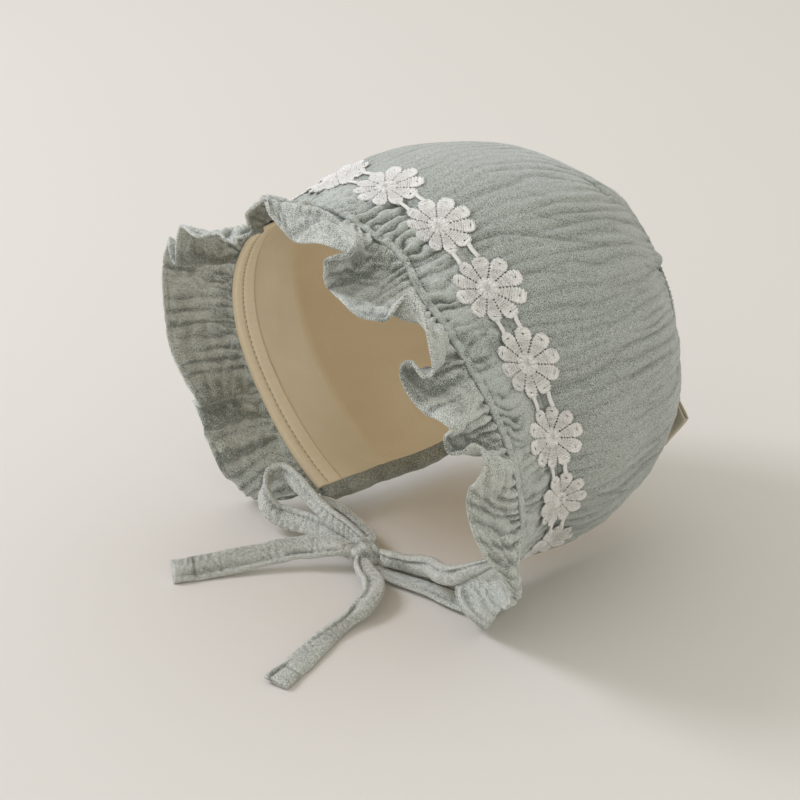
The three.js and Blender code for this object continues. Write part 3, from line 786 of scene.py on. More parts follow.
@dataclass
class HatForm:
    """The surfaces that the hat's pieces lie on, each a function of an angle and a share across."""

    crown_length: float = 95.0
    back_middle: float = 75.6
    band_width: float = 26.0
    frill_width: float = 26.0
    frill_swell: float = 0.25  # how much of a fold's lift its middle has
    frill_lean: float = 0.35  # how much of a fold's lean its middle has
    frill_ahead: float = 0.42  # how far ahead its middle is, as a share of its width
    hem_clear: float = 1.2  # the hem stays this far over the floor
    pull: float = 4.5  # how far the gathers draw the frill seam back beside the top
    pull_at: float = 24.0
    pull_spread: float = 10.0
    lining_depth: float = 2.3
    lining_wall: float = 1.0
    nape_tilt: float = 36.0
    sides_from: float = 60.0  # the crown's puff goes over from the top's to the sides' between these
    sides_to: float = 115.0
    crown_puff: tuple = (  # across, over the top, at the sides
        (0, 0, 0), (0.25, -2.2, 1.7), (0.47, -4, 1.3), (0.68, -2.9, 2.6), (0.88, -1.5, 2.5), (1, 0, 0),
    )
    back_puff: tuple = ((0, 0), (0.5, 1.6), (0.85, 1.2), (1, 0))
    seat_across: float = 0.35  # where on the crown the head touches the top of the hat

    def section(self, column: str, at: Array) -> Array:
        """One column of the sections at the given angles, mirrored about the top.

        Args:
            column: its name.
            at: the angles.

        Returns:
            Its values.
        """
        rows = [(-s.at, getattr(s, column)) for s in reversed(SECTIONS[1:])]
        rows += [(s.at, getattr(s, column)) for s in SECTIONS]
        return through(at, *zip(*rows))

    def fold(self, column: str, at: Array) -> Array:
        """One column of the folds at the given angles, kept as a last direction of one."""
        return through(at, [f.at for f in FOLDS], [getattr(f, column) for f in FOLDS])[..., None]

    def ring(self, at: Array, radius: Array, y: Array) -> Array:
        """Points at a radius from the front-to-back axis, `at` degrees round from the top.

        Args:
            at: the angles.
            radius: the radius.
            y: how far back the points are.

        Returns:
            The points.
        """
        turn = np.radians(at)
        x, z = radius * np.sin(turn), radius * np.cos(turn) + CROWN_CENTRE[2]
        return np.stack(np.broadcast_arrays(x, y, z), axis=-1)

    def seam(self, at: Array) -> Array:
        """The seam between the band and the frill."""
        drawn = self.pull * bell(at, self.pull_at, self.pull_spread)
        return self.ring(at, self.section("seam_radius", at), self.section("seam_y", at) + drawn)

    def lace_line(self, at: Array) -> Array:
        """The line under the middle of the lace, where the band meets the main panel."""
        return self.ring(at, self.section("lace_radius", at), self.section("lace_y", at))

    def on_ball(self, at: Array, tilt: Array, radius: Array) -> Array:
        """Points at a tilt from straight back and a radius, both from the crown's centre.

        Args:
            at: the angles.
            tilt: the tilt, in degrees.
            radius: the radius.

        Returns:
            The points.
        """
        turn, lean = np.radians(at), np.radians(tilt)
        parts = (np.sin(lean) * np.sin(turn), np.cos(lean), np.sin(lean) * np.cos(turn))
        return CROWN_CENTRE + np.stack(np.broadcast_arrays(*parts), axis=-1) * np.asarray(radius)[..., None]

    def crown(self, at: Array, across: Array) -> Array:
        """The main panel, from the lace line (0) to the back seam (1).

        Args:
            at: the angles.
            across: shares across the panel.

        Returns:
            The points. The tilt and the radius go evenly across, and the puff is added to the radius.
        """
        rho, along = self.section("lace_radius", at), self.section("lace_y", at) - CROWN_CENTRE[1]
        start = np.degrees(np.arctan2(rho, along))
        tilt = start + (self.section("back_tilt", at) - start) * across
        base = np.hypot(rho, along) * (1 - across) + self.section("back_radius", at) * across
        stations, top, side = zip(*self.crown_puff)
        share = smooth(np.abs(at), self.sides_from, self.sides_to)
        puff = through(across, stations, top) * (1 - share) + through(across, stations, side) * share
        return self.on_ball(at, tilt, base + puff)

    def back_edge(self, at: Array) -> Array:
        """The tilt of the back panel's edge: the back seam, then the nape.

        Args:
            at: the angles.

        Returns:
            The tilts, in degrees.
        """
        t = np.clip((np.abs(at) - PANEL_END) / (180 - PANEL_END), 0, 1)
        end = SECTIONS[-1].back_tilt
        nape = end + (self.nape_tilt - end) * t * (2 - t)
        return np.where(np.abs(at) <= PANEL_END, self.section("back_tilt", at), nape)

    def back(self, at: Array, across: Array) -> Array:
        """The back panel, from its middle (0) to its edge (1).

        Args:
            at: the angles.
            across: shares across the panel.

        Returns:
            The points.
        """
        rise = (self.section("back_radius", at) - self.back_middle) * across**2
        radius = self.back_middle + rise + through(across, *zip(*self.back_puff))
        return self.on_ball(at, self.back_edge(at) * across, radius)

    def band(self, at: Array, across: Array) -> Array:
        """The front band, from the lace line (0) to the frill seam (1)."""
        share = np.asarray(across, float)[..., None]
        return self.lace_line(at) * (1 - share) + self.seam(at) * share

    def seat_height(self) -> float:
        """How high the inside of the top of the hat is over the head's centre.

        Returns:
            The height, in millimetres.
        """
        at = np.array([[-1.0, -1.0], [0.0, 0.0], [1.0, 1.0]])
        across = np.array([[self.seat_across, self.seat_across + 0.001]] * 3)
        points = self.crown(at, across)
        normal = outward(points)[1, 0]
        return float((points[1, 0] - normal * (self.lining_depth + self.lining_wall))[2])

    def seam_frame(self, at: Array) -> tuple[Array, Array, Array, Array]:
        """The frill seam's points and the directions ahead, outwards and along it.

        Args:
            at: the angles.

        Returns:
            The points and the three directions.
        """
        start = self.seam(at)
        step = 0.05
        along = unit(self.seam(at + step) - self.seam(at - step))
        ahead = start - self.lace_line(at)
        ahead = unit(ahead - along * dot(ahead, along))
        out = np.cross(along, ahead)
        radial = self.ring(at, np.ones_like(at), 0 * at) - self.ring(at, 0 * at, 0 * at)
        return start, ahead, out * np.sign(dot(out, radial)), along

    def frill(self, at: Array, down: Array) -> Array:
        """The frill, from its seam (0) to its hem (1): each row an easy bend from ahead to the hem's way.

        Args:
            at: the angles of the rows.
            down: shares from the seam to the hem.

        Returns:
            The points start (1 - t)² + bend 2 t (1 - t) + hem t², where t is the share.
        """
        start, ahead, out, along = self.seam_frame(at)
        lift, lean = np.radians(self.fold("lift", at)), np.radians(self.fold("lean", at))
        way = np.cos(lean) * (np.cos(lift) * ahead + np.sin(lift) * out) + np.sin(lean) * along
        hem = start + self.fold("reach", at) * self.frill_width * way
        hem[..., 2] = np.maximum(hem[..., 2], FLOOR + self.hem_clear)
        outward_part = (self.frill_swell * np.sin(lift) + self.fold("puff", at)) * out
        along_part = (self.frill_lean * np.sin(lean) + self.fold("sway", at)) * along
        ahead_part = (self.frill_ahead + self.fold("curl", at)) * ahead
        bend = start + self.frill_width * (ahead_part + along_part + outward_part)
        t = np.asarray(down, float)[..., None]
        return start * (1 - t) ** 2 + bend * 2 * t * (1 - t) + hem * t**2


def angles(count: int, end: float = PANEL_END) -> Array:
    """A column of angles from one neck edge to the other."""
    return np.linspace(-end, end, count)[:, None]


def shares(count: int, low: float = 0.0, high: float = 1.0) -> Array:
    """A row of shares across a panel."""
    return np.linspace(low, high, count)[None, :]


def gathered_angle(at: Array, across: Array) -> Array:
    """The angle at the lace line of the crease through a point.

    Towards the neck the creases close up as they near the back seam, round the angle where the label is.

    Args:
        at: the points' angles.
        across: their shares from the lace line to the back seam.

    Returns:
        The angles.
    """
    closed, from_angle, late = 0.55, 84, 1.5
    side = np.abs(at)
    pull = closed * smooth(side, from_angle, LABEL_AT) * across**late
    return np.sign(at) * (LABEL_AT + (side - LABEL_AT) / (1 - pull))


def on_disc(at: Array, across: Array, radius: float) -> Array:
    """The places in a round panel that is laid flat, up to a radius in millimetres."""
    turn = np.radians(at)
    return np.stack([across * radius * np.sin(turn), across * radius * np.cos(turn)], axis=-1)


def round_gathers(at: Array, count: float, uneven: float, seed: int) -> Array:
    """How many gathers there are from the nape to each angle: count (1 - |at| / 180) and a noise."""
    turn = np.radians(at)
    return count * (1 - np.abs(at) / 180) + uneven * cloud(3 * np.cos(turn) + 9, 3 * np.sin(turn) + 9, seed)


# ---- Pieces ----


@dataclass
class Part:
    """A part of the hat: the form that it follows and the bench that its pieces are made on."""

    form: HatForm
    bench: Bench


@dataclass
class MainPanel(Part):
    """The gathered panel over the top and sides of the head."""

    around: int = 516
    rows: int = 90
    wall: float = 1.1
    crinkles: Creases = Creases(5.1, (Noise(11, 19, 46, 0.85), Noise(12, 6, 15, 0.33)))
    crinkle_share: Patches = Patches(0.55, Noise(13, 8, 22, 0.75), 0.05, 1.2)
    thin: Creases = Creases(3.3, (Noise(22, 9, 30, 0.8), Noise(23, 4, 11, 0.3)))
    thin_share: Patches = Patches(0.2, Noise(24, 11, 13, 0.9, start=5), 0, 1)
    folds: Creases = Creases(12.5, (Noise(14, 28, 60, 0.9), Noise(18, 7, 22, 0.25)))
    fold_share: Patches = Patches(0.3, Noise(19, 15, 26, 0.9), 0, 1.1)
    broad: tuple[Noise, ...] = (Noise(15, 11, 50, 0.5, start=3), Noise(16, 24, 70, 0.6))
    small: Noise = Noise(20, 1.7, 3.4)
    neck_folds: Creases = Creases(8.2, (Noise(21, 20, 45, 0.6),))
    gathers: Creases = Creases(3.9, (Noise(17, 9, 12, 0.9),))

    def relief(self, at: Array, across: Array) -> tuple[Array, Array]:
        """The cloth's height in millimetres and how light it is, with painted shade in its creases.

        Long crinkles run from the lace to the back seam, wander, and come and go. Over them lie wider
        folds, the gathers at the back seam, and the deep folds that draw together at the neck.

        Args:
            at: the angles.
            across: shares from the lace line to the back seam.

        Returns:
            The heights and the lightness, with painted shade in the creases, folds and groove.
        """
        place = gathered_angle(at, across) * ARC, across * self.form.crown_length
        side = np.abs(at)
        valley = self.crinkles.furrows(*place, half=0.8, sharp=1.4) * self.crinkle_share.at(*place)
        thin = self.thin.furrows(*place, half=0.5, sharp=1.4) * self.thin_share.at(*place)
        fold = self.folds.furrows(*place, half=0.9, sharp=1.6) * self.fold_share.at(*place)
        broad = sum(noise.at(*place) for noise in self.broad) * (0.55 + 0.45 * smooth(side, 20, 60))
        small = (0.1 + 0.12 * smooth(side, 50, 90)) * self.small.at(*place)
        puffed = self.crinkles.folds(*place, sharp=2.2)
        neck, deep = smooth(side, 96, 126), self.neck_folds.folds(*place, sharp=1.35)
        near_back, gathers = smooth(across, 0.8, 0.99), self.gathers.folds(*place, sharp=1.3)
        height = 0.35 * puffed - 0.6 * valley - 0.4 * thin - 0.8 * fold + broad + small
        height = height + near_back * gathers * 0.55 + neck * deep * (0.5 + 1.2 * across)
        # Painted shade: the valleys of the crinkles, the folds, the neck's deep folds and the gathers by the
        # back seam darken the colour.
        dark = 0.42 * valley + 0.3 * thin + 0.3 * fold + 0.3 * neck * np.abs(deep)
        dark = dark + 0.15 * near_back * np.abs(gathers)
        edge = smooth(across, 0.0, 0.04) * (1 - 0.6 * smooth(across, 0.97, 1.0))
        height = height * (0.52 + 0.48 * smooth(side, 10, 50)) * edge + 0.25
        dark = dark * (0.75 + 0.25 * smooth(side, 10, 45))
        tuck, lump = self.tucks(at, across)
        height = height + lump - 2 * tuck - 0.9 * smooth(across, 0.988, 1.002)
        under_lace = 0.25 + 1.5 * smooth(place[1], 9, 16)
        # Painted shade: lighter where the broad swells stand up, darker by the sum above, and darkest in the
        # groove where the back seam caught the cloth.
        shade = np.clip(0.88 + 0.1 * broad - dark, 0.55, 1.2) - 0.8 * tuck
        return np.minimum(height, under_lace), shade

    def tucks(self, at: Array, across: Array) -> tuple[Array, Array]:
        """Two places where the back seam caught the cloth: a groove by the top and a knob at the side.

        Args:
            at: the angles.
            across: shares from the lace line to the back seam.

        Returns:
            How deep in a groove each place is, 0 to 1, and how far it is raised, in millimetres.
        """
        groove_at, knob_at = 19, 48
        line = 0.81 + 0.004 * (at - groove_at) + 0.012 * cloud(at / 2.5, 0 * at, 64)
        groove = bell(at, groove_at, 4) * bell(across, line, 0.016)
        beside = bell(at, knob_at + 4.5, 1.5) * smooth(across, 0.9, 0.96)
        knob = bell(at, knob_at, 3.3) * smooth(across, 0.88, 0.97)
        lip = bell(at, groove_at - 2, 8) * smooth(across, 0.82, 0.86)
        return groove + 0.6 * beside, 1.6 * knob + 1.1 * lip

    def build(self) -> Piece:
        """Makes the panel: the form's surface moved along its normals by the relief.

        Returns:
            The piece.
        """
        at, across = np.broadcast_arrays(angles(self.around), shares(self.rows, 0.0, 1.002))
        base = self.form.crown(at, across)
        height, ridge = self.relief(at, across)
        normals = outward(base)
        outer = base + normals * height[..., None]
        inner = base + normals * (0.6 * height - self.wall)[..., None]
        uv = np.stack([at * ARC, across * self.form.crown_length], axis=-1)
        return self.bench.shell("crown_cloth", (outer, inner), uv, ridge)


@dataclass
class BackPanel(Part):
    """The round panel at the back of the head, with its nape edge."""

    around: int = 400
    rows: int = 46
    wall: float = 1.1
    radius: float = 50.0  # from its middle to its edge, over the cloth
    crinkles: Creases = Creases(4.7, (Noise(31, 15, 30, 0.9), Noise(34, 5, 12, 0.35)))
    crinkle_share: Patches = Patches(0.55, Noise(35, 9, 18, 0.7), 0.1, 1.2)
    broad: Noise = Noise(32, 11, 24, 0.55)
    gathers: float = 88.0  # how many gathers run in from the seam on each side

    def build(self) -> Piece:
        """Makes the panel on a round grid: upright crinkles, and gathers that run in from the seam.

        Returns:
            The piece.
        """
        turn = np.linspace(-180, 180, self.around)[:, None]
        at, across = np.broadcast_arrays(turn, shares(self.rows, 0.004, 1.0))
        base = self.form.back(at, across)
        uv = on_disc(at, across, self.radius)
        place = uv[..., 0], uv[..., 1]
        fine = self.crinkles.folds(*place, sharp=2.0) * self.crinkle_share.at(*place)
        ripple = round_gathers(at, self.gathers, 1.1, seed=33)
        gathers = (crease(ripple, 1.3) - 1) * 0.65 * smooth(across, 0.66, 0.97)
        puff = bell(at, 13, 11) * smooth(across, 0.7, 0.93) * (1 - 0.5 * smooth(across, 0.97, 1))
        rim = smooth(across, 0.94, 1.0)
        height = fine * 0.6 * (1 - smooth(across, 0.6, 0.95)) + self.broad.at(*place) + gathers
        height = height * smooth(across, 0.0, 0.12)
        height = height * (1 - 0.4 * rim) + 0.2 - 0.35 * rim + 2.4 * puff
        normals = unit(base - CROWN_CENTRE)
        outer = base + normals * height[..., None]
        inner = base + normals * (0.5 * height - self.wall)[..., None]
        # Painted shade: higher cloth is lighter, lower cloth and the rim by the seam darker.
        ridge = np.clip(0.72 + 0.36 * height - 0.15 * rim, 0, 1.2)
        return self.bench.shell("back_cloth", (outer, inner), uv, ridge, wrap=True)


@dataclass
class FrontBand(Part):
    """The band between the lace and the frill, with an edge-stitched fold along the frill."""

    around: int = 520
    rows: int = 24
    fold_rows: int = 16  # rows over the fold, closer together
    wall: float = 1.1
    fold_width: float = 3.5
    fold_height: float = 0.5
    stitch_inset: float = 0.75  # the edge stitching runs this far from the fold's edge
    top: float = 5.0  # the highest place of the rim, in degrees
    puckers: Creases = Creases(3.9, (Noise(21, 9, 8, 0.8), Noise(22, 3, 4, 0.35)))
    pucker_share: Patches = Patches(0.6, Noise(23, 8, 9, 0.7), 0.1, 1.2)
    swells: Noise = Noise(24, 13, 15, 0.6)
    dips: Noise = Noise(28, 5.5, 6)
    small: Noise = Noise(26, 1.7, 2.3, 0.13)
    lumps: tuple[Noise, ...] = (Noise(25, 2.7, 3.4, 0.4), Noise(27, 1.1, 2, 0.14))

    def build(self) -> Piece:
        """Makes the band: puckers across it, and the fold with dents between its stitches.

        Returns:
            The piece.
        """
        rows = np.concatenate([np.linspace(0, 21.6, self.rows), np.linspace(21.9, 26, self.fold_rows)])
        at, depth = np.broadcast_arrays(angles(self.around), rows[None, :])
        base = self.form.band(at, depth / self.form.band_width)
        place = at * ARC, depth
        share = self.pucker_share.at(*place) * (0.7 + 0.5 * smooth(depth, 8, 20))
        pucker = self.puckers.folds(*place, sharp=1.7) * share
        broad = self.swells.at(*place) - 0.7 * np.abs(self.dips.at(*place))
        to_seam = self.form.band_width - depth
        on_fold = 1 - smooth(to_seam, self.fold_width - 0.5, self.fold_width + 0.2)
        ditch = bell(to_seam, self.fold_width + 0.2, 0.55)
        lumps = sum(noise.at(*place) for noise in self.lumps)
        lumps = lumps * (1 + smooth(-np.abs(at - self.top), -40, -20))
        dent = bell(to_seam, self.stitch_inset, 0.45)
        roll = smooth(to_seam, 0.0, 0.5)
        top = 1 + 0.7 * bell(at, self.top, 26)
        wide = smooth(depth, 0, 2) * (1 - 0.75 * on_fold)
        height = (pucker * 1.45 + broad * 1.2 + self.small.at(*place) + 0.4) * top * wide
        height = np.minimum(height - 0.3 * ditch / top**2, 0.15 + 1.5 * smooth(depth, 8, 15))
        height = height + on_fold * (self.fold_height * roll + lumps - 0.1 * dent) + 0.15
        normals = outward(base)
        points = base + normals * height[..., None]
        # Painted shade: raised cloth is lighter; hollows, the ditch beside the fold and the fold's turned
        # edge are darker.
        shade = 0.3 * height - 0.4 * sunk(points, normals, 8) - 0.1 * ditch - 0.3 * on_fold * (1 - roll)
        walls = points, base - normals * self.wall
        return self.bench.shell("band_cloth", walls, np.stack(place, axis=-1), np.clip(0.94 + shade, 0, 1.25))


@dataclass
class Frill(Part):
    """The gathered frill round the face, with a narrow stitched hem."""

    around: int = 1020
    rows: int = 16  # rows over the middle; those by the seam and in the hem are closer together
    wall: float = 0.7
    hem: float = 1.9
    hem_wall: float = 1.15
    pleats: Creases = Creases(4.0, (Noise(41, 7, most=0.9), Noise(42, 2.5, 4, 0.22)))
    pleat_size: Noise = Noise(45, 6, most=0.75)
    pleat_reach: Noise = Noise(46, 4, most=4.0)
    ripples: Creases = Creases(4.7, (Noise(47, 12, 34, 0.6), Noise(52, 4, 10, 0.25)))
    ripple_share: Patches = Patches(0.55, Noise(48, 7, 12, 0.7), 0.0, 1.2)
    swells: Noise = Noise(43, 6.5, 34, 0.8)
    crumples: Noise = Noise(44, 5.5, 7, slant=0.2)
    fine_crumples: Noise = Noise(49, 3, 4, slant=-0.2)
    small: Noise = Noise(50, 1.5, 2.2, 0.06)
    hem_puckers: Noise = Noise(51, 1.9, most=0.08)

    def grid(self) -> tuple[Array, Array]:
        """The frill's grid, from just under the band.

        Returns:
            The angles and the shares from the seam.
        """
        hem = 1 - np.linspace(2.2, 0.0, 8) / self.form.frill_width
        middle = np.linspace(0.32, 0.9, self.rows)
        rows = np.concatenate([[-0.08, -0.045], np.linspace(0.0, 0.3, 15), middle, hem])
        return np.broadcast_arrays(angles(self.around), rows[None, :])

    def pleated(self, at: Array, line: Array, depth: Array) -> Array:
        """The height of the gathers by the seam, which run out at uneven depths.

        Args:
            at: the angles.
            line: millimetres along the seam.
            depth: millimetres from the seam.

        Returns:
            The heights, in millimetres.
        """
        size = 0.85 + self.pleat_size.at(line, depth)
        reach = 7.0 + self.pleat_reach.at(line, depth)
        fade = np.exp(-((depth / reach) ** 1.5)) * (0.5 + 0.5 * smooth(depth, 0, 3))
        pleat = (self.pleats.folds(line, depth, sharp=1.35) + 0.4) * size * 2.3 * fade
        return pleat * (1 - 0.6 * smooth(at, 116, 126))

    def loosened(self, at: Array, line: Array, depth: Array) -> Array:
        """The height of the long ripples and the crumples between them, by place.

        Args:
            at: the angles.
            line: millimetres along the seam.
            depth: millimetres from the seam.

        Returns:
            The heights, in millimetres. The crumples calm down and the ripples grow at the near corner.
        """
        far = 0.5 + 0.5 * smooth(-at, 20, 60)
        share = self.ripple_share.at(line, depth) * smooth(depth, 1, 6) * far
        ripple = (self.ripples.folds(line, depth, sharp=1.6) + 0.35) * share * 2.0
        top = 1 + 0.8 * bell(at, 3, 24)
        crumple = -np.abs(self.crumples.at(line, depth)) * 1.4 * top
        crumple = crumple - np.abs(self.fine_crumples.at(line, depth)) * 0.55
        calm, corner = 1 - 0.6 * smooth(at, 116, 126), smooth(at, 124, 131)
        return ripple * (1 + 1.5 * corner) * calm + crumple * (1 - 0.7 * corner) + 0.4

    def surface(self) -> tuple[Array, Array, Array, Array]:
        """The frill's middle surface with its gathers and creases.

        Returns:
            The points, the way out, the depth in millimetres and how light the cloth is, with painted shade
            and a painted highlight.
        """
        at, down = self.grid()
        base = self.form.frill(at, down)
        normals = outward(base)
        line, depth = at * ARC, np.clip(down, 0, 1) * self.form.frill_width
        to_hem = self.form.frill_width - depth
        on_hem = 1 - smooth(to_hem, self.hem - 0.3, self.hem + 0.3)
        dents = bell(to_hem, self.hem - 0.35, 0.28) * (0.6 + 0.4 * np.sin(2 * np.pi * line / 2.1))
        pleat = self.pleated(at, line, depth)
        loose = self.loosened(at, line, depth) * (1 - 0.5 * on_hem)
        swell = self.swells.at(line, depth) * smooth(depth, 0, 6)
        pucker = self.hem_puckers.at(line, depth) * on_hem - 0.12 * dents
        height = pleat + loose + swell + self.small.at(line, depth) + pucker
        under = (1 - smooth(down, -0.02, 0.045)) * (1 - 0.6 * bell(at, 0, 20))
        points = base + normals * (height * smooth(down, -0.06, 0.02) - under)[..., None]
        # Painted shadow: darker where the cloth lies under the cloth beside it, a little lighter where it
        # stands above.
        shadow = np.clip(0.1 * sunk(points, normals, 22) + 0.3 * sunk(points, normals, 7), -0.12, 0.5)
        # Painted shade: raised gathers lighter, the stitch dents darker, and a painted highlight along the
        # hem.
        shade = 0.27 * pleat + 0.28 * loose + 0.12 * on_hem - 0.45 * dents - 1.3 * shadow
        return points, normals, depth, np.clip(0.86 + shade, 0.3, 1.1)

    def build(self) -> Piece:
        """Makes the frill's cloth, twice as thick where it is turned for the hem.

        Returns:
            The piece.
        """
        points, normals, depth, ridge = self.surface()
        to_hem = self.form.frill_width - depth
        side = np.sign(np.sum(grid_normals(points) * normals))
        way = unit(evened(grid_normals(points) * side, 6))
        wall = self.wall + (self.hem_wall - self.wall) * (1 - smooth(to_hem, self.hem - 0.15, self.hem + 0.1))
        half = (wall * (0.55 + 0.45 * smooth(to_hem, -0.01, 0.35)))[..., None] / 2
        steps = np.linalg.norm(np.diff(points, axis=0), axis=-1).mean(axis=1)
        cloth_along = np.concatenate([[0.0], np.cumsum(steps)])[:, None] + 0 * depth
        uv = np.stack([cloth_along, depth], axis=-1)
        return self.bench.shell("frill_cloth", (points + way * half, points - way * half), uv, ridge)


@dataclass(frozen=True)
class Stitching:
    """A run of machine stitches: each is a grain of thread that dips into the cloth at its ends."""

    pitch: float = 2.3
    length: float = 1.75
    width: float = 0.3
    lift: float = 0.12  # how much higher a grain's middle is than its ends
    stations: int = 5
    sides: int = 6

    def grain(self) -> Array:
        """The triangles of one grain.

        Returns:
            Their corners: the rings' points count first, then the two tips.
        """
        body = self.stations * self.sides
        index = np.arange(body).reshape(self.stations, self.sides)
        turned = np.roll(index, -1, axis=1)
        near = np.stack([index[:-1], index[1:], turned[1:]], axis=-1).reshape(-1, 3)
        far = np.stack([index[:-1], turned[1:], turned[:-1]], axis=-1).reshape(-1, 3)
        return np.concatenate([near, far, fan(index[0], body), fan(index[-1, ::-1], body + 1)])

    def build(self, name: str, bench: Bench, path: Array, out: Array) -> Piece:
        """Makes one piece of a run of stitches.

        A grain's girth follows half a circle from end to end, and its middle stands a little higher.

        Args:
            name: the piece's name.
            bench: where shapes are placed.
            path: (n, 3) line in millimetres.
            out: (n, 3) way out from the cloth along it.

        Returns:
            The piece.
        """
        way = walked(path)
        middles = np.arange(self.pitch / 2, way[-1], self.pitch)
        half = self.length / 2
        along = unit(read_at(path, way, middles + half) - read_at(path, way, middles - half))
        up = read_at(out, way, middles)
        up = unit(up - along * dot(up, along))
        beside = np.cross(along, up)
        t = np.linspace(-1, 1, self.stations + 2)[1:-1]
        girth = np.sqrt(1 - t**2) * self.width / 2
        turn = np.linspace(0, 2 * np.pi, self.sides, endpoint=False)
        middle = read_at(path, way, middles)
        rise = (self.lift * (1 - t**2))[:, None] + girth[:, None] * np.sin(turn)
        aside = girth[:, None] * np.cos(turn)
        ring = middle[:, None, None] + along[:, None, None] * (t * half)[:, None, None]
        ring = ring + beside[:, None, None] * aside[..., None] + up[:, None, None] * rise[..., None]
        body = self.stations * self.sides
        tips = np.stack([middle - along * half, middle + along * half], axis=1)
        points = np.concatenate([ring.reshape(len(middles), body, 3), tips], axis=1).reshape(-1, 3)
        faces = self.grain()[None] + (np.arange(len(middles)) * (body + 2))[:, None, None]
        uv = np.stack([points[:, 0] + points[:, 1], points[:, 2]], axis=-1)
        return bench.mesh(name, points, faces.reshape(-1, 3), uv, ridge=np.full(len(points), 0.7))


@dataclass
class Daisies(Part):
    """The strip of lace: ten-petalled daisies of raised embroidery, joined by pairs of short bars.

    A petal is a grid of columns, as shares of its half width (over 1 is the slit beside it), and rows, as
    distances from the daisy's middle.
    """

    pitch: float = 27.9
    count: int = 13
    petals: int = 10
    tip: float = 12.4  # from the middle of a daisy to the end of a petal
    tip_radius: float = 2.75
    slit: float = 0.36  # half the width of the holes between neighbouring petals
    dome: float = 3.4  # the radius of the raised middle
    slit_start: float = 3.8
    slit_end: float = 8.6  # petals are tied together with stitches up to here
    pinhole: float = 10.1  # how far out the small hole near a petal's end is
    lift: float = 0.35
    ahead: float = 1.0  # how far the strip lies in front of the join that it covers
    reach: float = 12.0  # how far the strip lies on the cloth to each side
    wall: float = 0.65
    bar_aside: float = 3.8
    bar_half: float = 2.9
    columns: tuple[float, ...] = (-1.0, -0.9, -0.72, -0.45, -0.12, 0.12, 0.45, 0.72, 0.9, 1.0, 1.2)
    dome_rows: tuple[float, ...] = (0.0, 0.7, 1.3, 1.9, 2.5, 3.0, 3.4)
    slit_rows: int = 15
    tip_rows: tuple[float, ...] = (9.1, 9.5, 9.85, 10.4, 10.9, 11.4, 11.8, 12.15, 12.4)

    def radii(self) -> Array:
        """The rows' distances from the daisy's middle."""
        slits = np.linspace(self.slit_start, self.slit_end, self.slit_rows)
        return np.concatenate([self.dome_rows, slits, self.tip_rows])

    def half_width(self, r: Array, row: Array) -> Array:
        """Half a petal's width: it keeps a slit to its neighbours, then follows the circle of its tip.

        Args:
            r: distances from the daisy's middle.
            row: the rows' numbers.

        Returns:
            The half widths. The slit opens into a hole at every third row and all but closes between.
        """
        wedge = r * math.tan(math.pi / self.petals)
        hole = np.where((row - len(self.dome_rows)) % 3 == 1, 1.0, 0.12)
        hole = np.where((r >= self.slit_start) & (r <= self.slit_end), hole, 0.3)
        body = np.clip(wedge - self.slit * hole * smooth(r, 2.6, 3.9), 0.0, self.tip_radius)
        past = np.clip(r - (self.tip - self.tip_radius), 0, None)
        tip = np.sqrt(np.clip(self.tip_radius**2 - past**2, 0.12, None))
        scallop = np.where(row % 2 == 0, 0.15, -0.15) * smooth(r, self.slit_end, self.slit_end + 0.4)
        return np.where(r > self.dome, np.minimum(body, tip) + scallop * (r < self.tip), wedge)

    def relief(self, s: Array, r: Array, row: Array) -> Array:
        """How high the stitches stand: a cord round the petal, ribs across it and the lumpy dome.

        Args:
            s: shares of the half width.
            r: distances from the daisy's middle.
            row: the rows' numbers.

        Returns:
            The heights, in millimetres.
        """
        even = row % 2 == 0
        cord = np.maximum(bell(np.abs(s), 0.8, 0.17) * smooth(r, 3.4, 5.0), bell(r, 11.65, 0.5))
        rib = np.where(even, 0.18, -0.18) * smooth(r, 3.6, 5)
        groove = 0.26 * bell(s, 0, 0.14) * smooth(r, 3.4, 5) * np.where(even, 0.3, 1.0)
        hump = 0.5 * (1 - smooth(r, 1.8, self.dome + 0.5))
        hump = hump + (0.15 * np.cos(s * 3.1) + 0.1 * np.cos(6.5 * r + 1.5 * s)) * smooth(r, 0.6, 1.4)
        rise = 0.3 + 0.3 * cord + rib - groove + hump + 0.1 * smooth(r, 8, 10)
        rise = rise - 0.12 * smooth(np.abs(s), 0.92, 1.0) * smooth(r, 3.4, 4.5)
        return rise - 0.35 * smooth(r, 12.1, self.tip)

    def kept(self, radii: Array) -> Array:
        """Which quads of a petal's grid are cloth: all but the open slit and the pinhole near the end.

        Args:
            radii: the rows.

        Returns:
            Truth for each quad.
        """
        column = np.arange(len(self.columns) - 1)[:, None]
        row = np.arange(len(radii) - 1)[None, :] - len(self.dome_rows)
        tied = (row >= 0) & (row < self.slit_rows - 1) & (row % 3 == 2)
        middle_radius = 0.5 * (radii[1:] + radii[:-1])[None, :]
        pin = (column == 4) & (np.abs(middle_radius - self.pinhole) < 0.2)
        return np.where(column == len(self.columns) - 2, tied | (row < 0), ~pin)

    def petal(self) -> tuple[Array, Array, Array, Array]:
        """One petal, pointing along +Y, with the stitched slit beside it.

        Returns:
            The places, the height, the stitch places and which quads are kept.
        """
        radii = self.radii()
        s, r = np.broadcast_arrays(np.array(self.columns)[:, None], radii[None, :])
        row = np.broadcast_to(np.arange(len(radii))[None, :], r.shape)
        half = self.half_width(r, row)
        beside = s > 1.0
        turn = 2 * math.pi / self.petals * beside
        lateral = np.where(beside, -half, s * half)
        x = lateral * np.cos(turn) + r * np.sin(turn)
        y = r * np.cos(turn) - lateral * np.sin(turn)
        height = np.where(beside, 0.5, self.relief(s, r, row))
        return np.stack([x, y], axis=-1), height, np.stack([s * 3.0, r], axis=-1), self.kept(radii)

